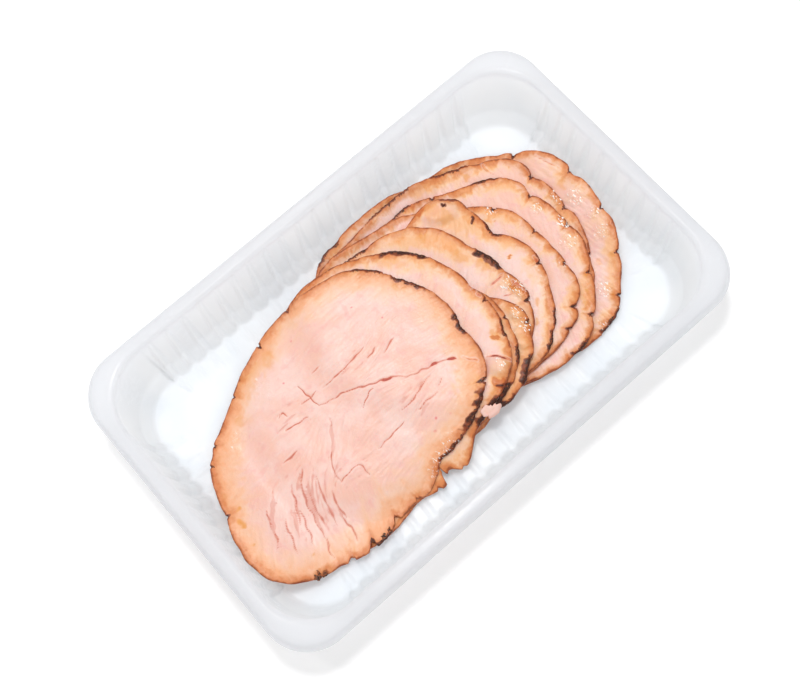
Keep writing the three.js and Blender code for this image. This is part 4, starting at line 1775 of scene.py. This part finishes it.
def make_slices() -> list[Slice]:
    """Describes the slices.

    Returns:
        The slices from the lowest up, then the scrap.
    """
    return [
        Slice(
            "slice_01", 0, (40.5, 7.6), MeatFinish("ham_low", band=3.6, creaminess=0.4, grain=100),
            scorches=each(
                Scorch, (123, 135, 1.0), (28, 33, 1.5), (4, 8, 1.0), (-16, -12, 1.2),
                (-34, -31, 1.2), (-52, -47, 1.5), (-67, -54, 1.8),
            ),
            cracks=cracks(((95.2, 29.2), (96.8, 23.7), (98.4, 18.3)), width=0.15, strength=0.8),
            glints=each(
                Stroke, (((95.4, 9), (95.4, -1)), 4.5), (((97, -2.5), (95, -9)), 4.0),
                (((94.5, -11), (91, -18)), 4.5), (((80, -29), (75, -37)), 5.0),
                (((64, -43), (70, -44)), 4.0),
            ),
            golds=each(
                Stroke, (((94.6, 15), (94.5, 8.8)), 2.0, 0.5),
                (((90.3, -22.6), (88.3, -26.4)), 2.2, 0.7), (((80.4, -36), (77.4, -39)), 2.2, 0.6),
                (((85.6, -21.4), (82.8, -24.4)), 2.0, 0.5),
            ),
            stains=each(Stroke, (((96, -14), (88, -28), (74, -41)), 5.0, 0.4)),
            seed=101,
        ),
        Slice(
            "slice_02", 1, (36.0, 9.4), MeatFinish("ham_rose", band=3.2, creaminess=0.3, grain=80),
            scorches=each(
                Scorch, (45, 66, 1.3, 0.85), (76, 107, 1.0, 0.8), (13, 18, 1.4), (-8, -4, 1.1),
                (-34, -27, 1.3),
            ),
            cracks=cracks(((77.2, 43.1), (77.0, 39.1), (78.2, 35.0)), width=0.2, strength=0.8),
            golds=each(
                Stroke, (((66, 41.2), (69.8, 43.9)), 2.0, 0.7),
                (((76.9, 41.7), (77.5, 38)), 1.6, 0.5),
            ),
            glints=each(Stroke, (((89.6, 13.8), (89.6, 5.6)), 4.0, 0.8)),
            stains=each(Stroke, (((40, 52), (56, 50), (66, 46)), 4.0, 0.35)),
            seed=202,
        ),
        Slice(
            "slice_03", 2, (29.5, 3.6), MeatFinish("ham_mid", band=3.2, creaminess=0.25, grain=70),
            scorches=each(
                Scorch, (31, 43, 1.5), (75, 88, 1.2), (60, 66, 1.5), (13, 17, 1.3), (-8, -5, 1.2),
                (-32, -28, 1.4), (-51, -48, 1.5), (-70, -60, 1.7),
            ),
            stains=each(
                Stroke, (((36, 49), (44, 47)), 4.0, 0.75), (((76, -22), (66, -34)), 6.0, 0.45),
            ),
            golds=each(
                Stroke, (((75.2, -22.1), (75.2, -25.1)), 2.2, 0.7),
                (((71.7, -27.8), (70.7, -30.8)), 2.4, 0.8),
                (((66.7, -31.1), (65.7, -34.1)), 2.2, 0.6),
                (((61.9, 37.6), (60.5, 35.7)), 1.6, 0.6), (((56.7, 50.6), (58, 47)), 1.8, 0.8),
            ),
            glints=each(
                Stroke, (((84, 4), (85.5, -5)), 5.0), (((78.7, -4), (80.7, -12.2)), 5.5),
                (((79.6, 15), (81.2, 8.7)), 4.0),
            ),
            seed=303,
        ),
        Slice(
            "slice_04", 3, (17.8, 4.2), MeatFinish("ham_soft", band=3.2, creaminess=0.3, grain=60),
            scorches=each(
                Scorch, (19, 24, 1.5), (-2, 2, 1.3), (-21, -18, 1.3), (-42, -36, 1.7),
                (-52, -46, 1.5),
            ),
            golds=dots((62.6, 18.5), (63.5, 20.1), (65.8, 0.4), width=0.8),
            glints=each(
                Stroke, (((63.5, 26.8), (67.2, 20.4)), 4.0, 0.7),
                (((71, -10), (72, -17)), 4.0, 0.7),
            ),
            stains=each(Stroke, (((68, -22), (60, -34)), 5.0, 0.4)),
            seed=404,
        ),
        Slice(
            "slice_05", 4, (8.5, 2.3),
            MeatFinish(
                "ham_toasted", band=4.4, creaminess=0.6, grain=52, crack=screen(206, 100, 60),
                deep_crack=screen(120, 40, 22),
            ),
            scorches=each(
                Scorch, (34, 42, 1.6, 0.8), (10, 21, 1.5), (-12, -9, 1.6), (-40, -32, 1.2),
                (-52, -42, 1.7),
            ),
            burns=each(
                Stroke, (((51.6, 37.7), (50.0, 35.9)), 1.3, 1.0, 0.9),
                (((49.9, 38.8), (49.5, 35.9)), 1.2), (((57.0, 26.5), (54.0, 23.2)), 0.9, 0.85, 0.5),
                (((65.6, -3.5), (64.8, -8.0)), 1.2, 0.7, 0.9),
            ),
            cracks=each(Stroke, (((63.4, -4.5), (62.6, -8.0)), 0.3, 0.9)),
            stains=each(
                Stroke, (((31, 48), (38, 45), (45, 43)), 5.5, 1.0, 0.5),
                (((40, 34), (52, 26), (59, 10)), 6.0, 0.42),
                (((55.0, 2.1), (57.4, 2.5)), 0.8, 1.0, 0.4),
            ),
            golds=each(
                Stroke, (((44.1, 42.9), (45.4, 35.9), (49.2, 29.7)), 4.5, 0.5, 0.35),
                (((52.7, -18.7), (49.3, -21.3)), 1.4, 0.7), (((46, -23.9), (44.2, -28)), 1.8, 0.7),
            ),
            glints=each(Stroke, (((62, 2), (60, -12), (54, -22)), 4.0, 0.35)),
            lobes=each(Lobe, (46.5, 37, 10, 6.5, -40, 1.5)),
            seed=505,
        ),
        Slice(
            "slice_06", 5, (-7.2, 2.6),
            MeatFinish("ham_browned", band=5.5, creaminess=0.65, grain=45),
            scorches=each(Scorch, (-3, 12, 3.2), (-23, -16, 1.8), (62, 80, 1.1)),
            cracks=each(
                Stroke, (((48.1, -2.0), (44.6, -2.2), (41.2, -2.4)), 0.35, 0.9),
                (((42, -9), (46, -11)), 0.3, 0.7), (((49.5, -7), (50.5, -13)), 0.3, 0.7),
            ),
            golds=each(
                Stroke, (((33.9, 35.5), (34.1, 29.3)), 3.6, 0.65),
                (((39.3, 20.6), (41.3, 10.4)), 3.8, 0.65), (((43.3, 10.6), (46.5, 1.9)), 3.2, 0.6),
                (((48, -6), (50, -14)), 4.0, 0.6),
            ),
            stains=each(
                Stroke, (((20, 41), (34, 32), (44, 14)), 4.5, 0.4),
                (((47, -6), (51, -13)), 5.0, 0.9), (((49.5, -12), (50.5, -15.5)), 3.0, 1.0),
            ),
            glints=each(Stroke, (((46, -4), (49, -9), (49, -16)), 6.0)),
            lobes=each(
                Lobe, (47.6, -6.5, 5.5, 3.4, -30, 0.9, 0.8), (48.8, -13.5, 6, 3.2, -75, 1.0, 0.8),
            ),
            seed=606,
        ),
        Slice(
            "slice_07", 6, (-9.7, -2.2), MeatFinish("ham_tan", band=6, creaminess=0.8, grain=20),
            scorches=each(Scorch, (-52, -37, 2.8), (-27, -20, 1.6), (-65, -56, 2.2)),
            stains=each(Stroke, (((41, -14), (42, -21), (34, -32), (24, -40)), 7.0, 0.4)),
            glints=each(Stroke, (((41, -14), (42, -21), (38, -30)), 5.0, 0.9)),
            lobes=each(Lobe, (40.5, -19, 7, 3.5, -80, 1.1, 0.8), (34, -29, 6, 3.5, -60, 1.0, 0.8)),
            seed=707,
        ),
        Slice(
            "slice_08", 7, (-13.7, -1.7), MeatFinish("ham_thin", band=8, creaminess=0.6, grain=25),
            scorches=each(Scorch, (-21, -14, 1.2), (-40, -31, 2.0), (-62, -48, 3.0)),
            stains=each(Stroke, (((28, -26), (22, -34), (14, -42)), 6.0, 0.7)),
            seed=808,
        ),
        Slice(
            "slice_09", 8, (-25.5, -3.9),
            MeatFinish("ham_second", band=4.4, creaminess=0.35, grain=40),
            scorches=each(
                Scorch, (25, 46, 2.6), (-6, 1, 1.5), (-20, -12, 1.4), (-60, -44, 3.0, 0.95),
            ),
            nicks=each(Nick, (-24.4, -58, 4.0, 1.3), (-15, -58, 1.0, 1.4), (-30, -58, 1.0, 1.2)),
            burns=each(Stroke, (((12.8, -35.6), (15.2, -38.4), (18.4, -38.6)), 1.0, 0.9)),
            cracks=each(
                Stroke, (((18.3, -25.1), (21.6, -27.3), (24.2, -32.4)), 0.5, 0.85),
                (((34.2, 2.5), (33.3, 0.9)), 0.4, 1.0), (((34.2, -1.9), (34.1, -3.7)), 0.4, 1.0),
            ),
            golds=each(
                Stroke, (((9.8, 36.7), (16.2, 31.5), (22, 24)), 3.0, 0.4),
                (((31.3, 11.4), (32.5, 2.6)), 2.4, 0.45), (((28, -16.4), (26.5, -23)), 2.4, 0.6),
                (((21.2, -29.8), (22.9, -34.8)), 3.0, 0.4),
            ),
            stains=each(
                Stroke, (((26, -20), (28, -26), (20, -40)), 4.0, 0.15),
                (((24.6, -19.1), (28.0, -23.4)), 1.5, 1.0, 0.3),
                (((13.4, -34.0), (14.6, -37.0), (17.4, -37.8)), 3.0, 1.1, 0.4),
                (((6.0, -44.0), (11.0, -42.0), (15.0, -40.5)), 3.0, 0.9, 0.5),
                (((13, -37), (6, -44)), 5.0, 0.4),
            ),
            glints=each(Stroke, (((19, -29), (22, -33)), 5.0, 0.7)),
            lobes=each(Lobe, (19.6, -31.6, 6.5, 5.4, -60, 2.2, 0.75), (12, -41, 7, 3, 0, 0.9, 0.8)),
            seed=909,
        ),
        Slice(
            "slice_10", 9, (-40.5, -3.9),
            MeatFinish(
                "ham_front", band=8, creaminess=0.3, cream=screen(244, 198, 166),
                tan=screen(239, 172, 128), toast=screen(208, 122, 70), crack=screen(212, 116, 90),
                deep_crack=screen(182, 72, 60),
            ),
            scorches=each(
                Scorch, (33, 46, 1.5), (15, 30, 2.0, 0.85), (-8, 1, 2.6), (-30, -27, 2.4),
                (-49, -31, 3.2, 0.9), (-66, -49, 1.8, 0.8), (-118, -108, 1.1), (74, 78, 1.4),
                (94, 100, 1.7), (122, 129, 1.0), (147, 152, 0.9), (157, 161, 0.9), (178, 184, 1.3),
            ),
            nicks=each(
                Nick, (-65.1, -52.0, 2.4, 2.0), (-75.0, -50.5, 1.8, 1.8), (-51.0, -52.5, 1.6, 1.6),
                (-38.0, -52.5, 1.2, 1.5), (-87.0, -48.0, 1.0, 1.0),
            ),
            cracks=SEAM + HEARTS + FINE_CRACKS + WIDE_CLEFTS + LOWER_FAN,
            blushes=BLOOD_SPOTS,
            splits=FRONT_SPLITS,
            stains=FRONT_STAINS,
            golds=FRONT_GOLDS,
            glints=each(
                Stroke, (((-6, -38), (-20, -42), (-33, -46)), 6.0, 0.55),
                (((-62, 25), (-54, 22)), 8.0, 0.42), (((-60, 33), (-52, 24)), 6.0, 0.4),
                (((-73, 23), (-83, 16)), 6.0, 0.42),
            ),
            shown=60.0,
            around=640,
            grain=FRONT_GRAIN,
            seed=11,
        ),
        Slice(
            "scrap", 9, (5.3, -42.0),
            MeatFinish(
                "ham_pale", flesh=screen(250, 224, 217), rose=screen(246, 200, 192),
                tan=screen(250, 216, 204), toast=screen(246, 200, 186), crust=screen(240, 186, 168),
                band=0.1, creaminess=0.0,
            ),
            slot=Slot.PALE,
            ragged=0.45,
            softness=0.5,
            shown=3.0,
            step=0.3,
            around=120,
            crust=0.0,
            seed=12,
        ),
    ]


def main() -> None:
    """Builds the studio, the tray and its slices in order."""
    logging.basicConfig(level=logging.INFO, format="%(name)s: %(message)s")
    Studio().build()
    log.info("studio is set")
    tray = Tray().build(SheetFinish())
    log.info("%s has %d faces", tray.name, len(tray.data.polygons))
    slices = make_slices()
    outlines = [Outline.of_node(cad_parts[one.node], one.middle) for one in slices]
    pile = Pile(outlines[:-1])
    for one, outline in zip(slices, outlines):
        piece = one.build(pile, outline)
        log.info("%s has %d faces", piece.name, len(piece.data.polygons))
    flecks = Flecks().build(slices[:-1], pile, CrumbFinish())
    log.info("%s has %d faces", flecks.name, len(flecks.data.polygons))


if __name__ == "__main__":
    main()
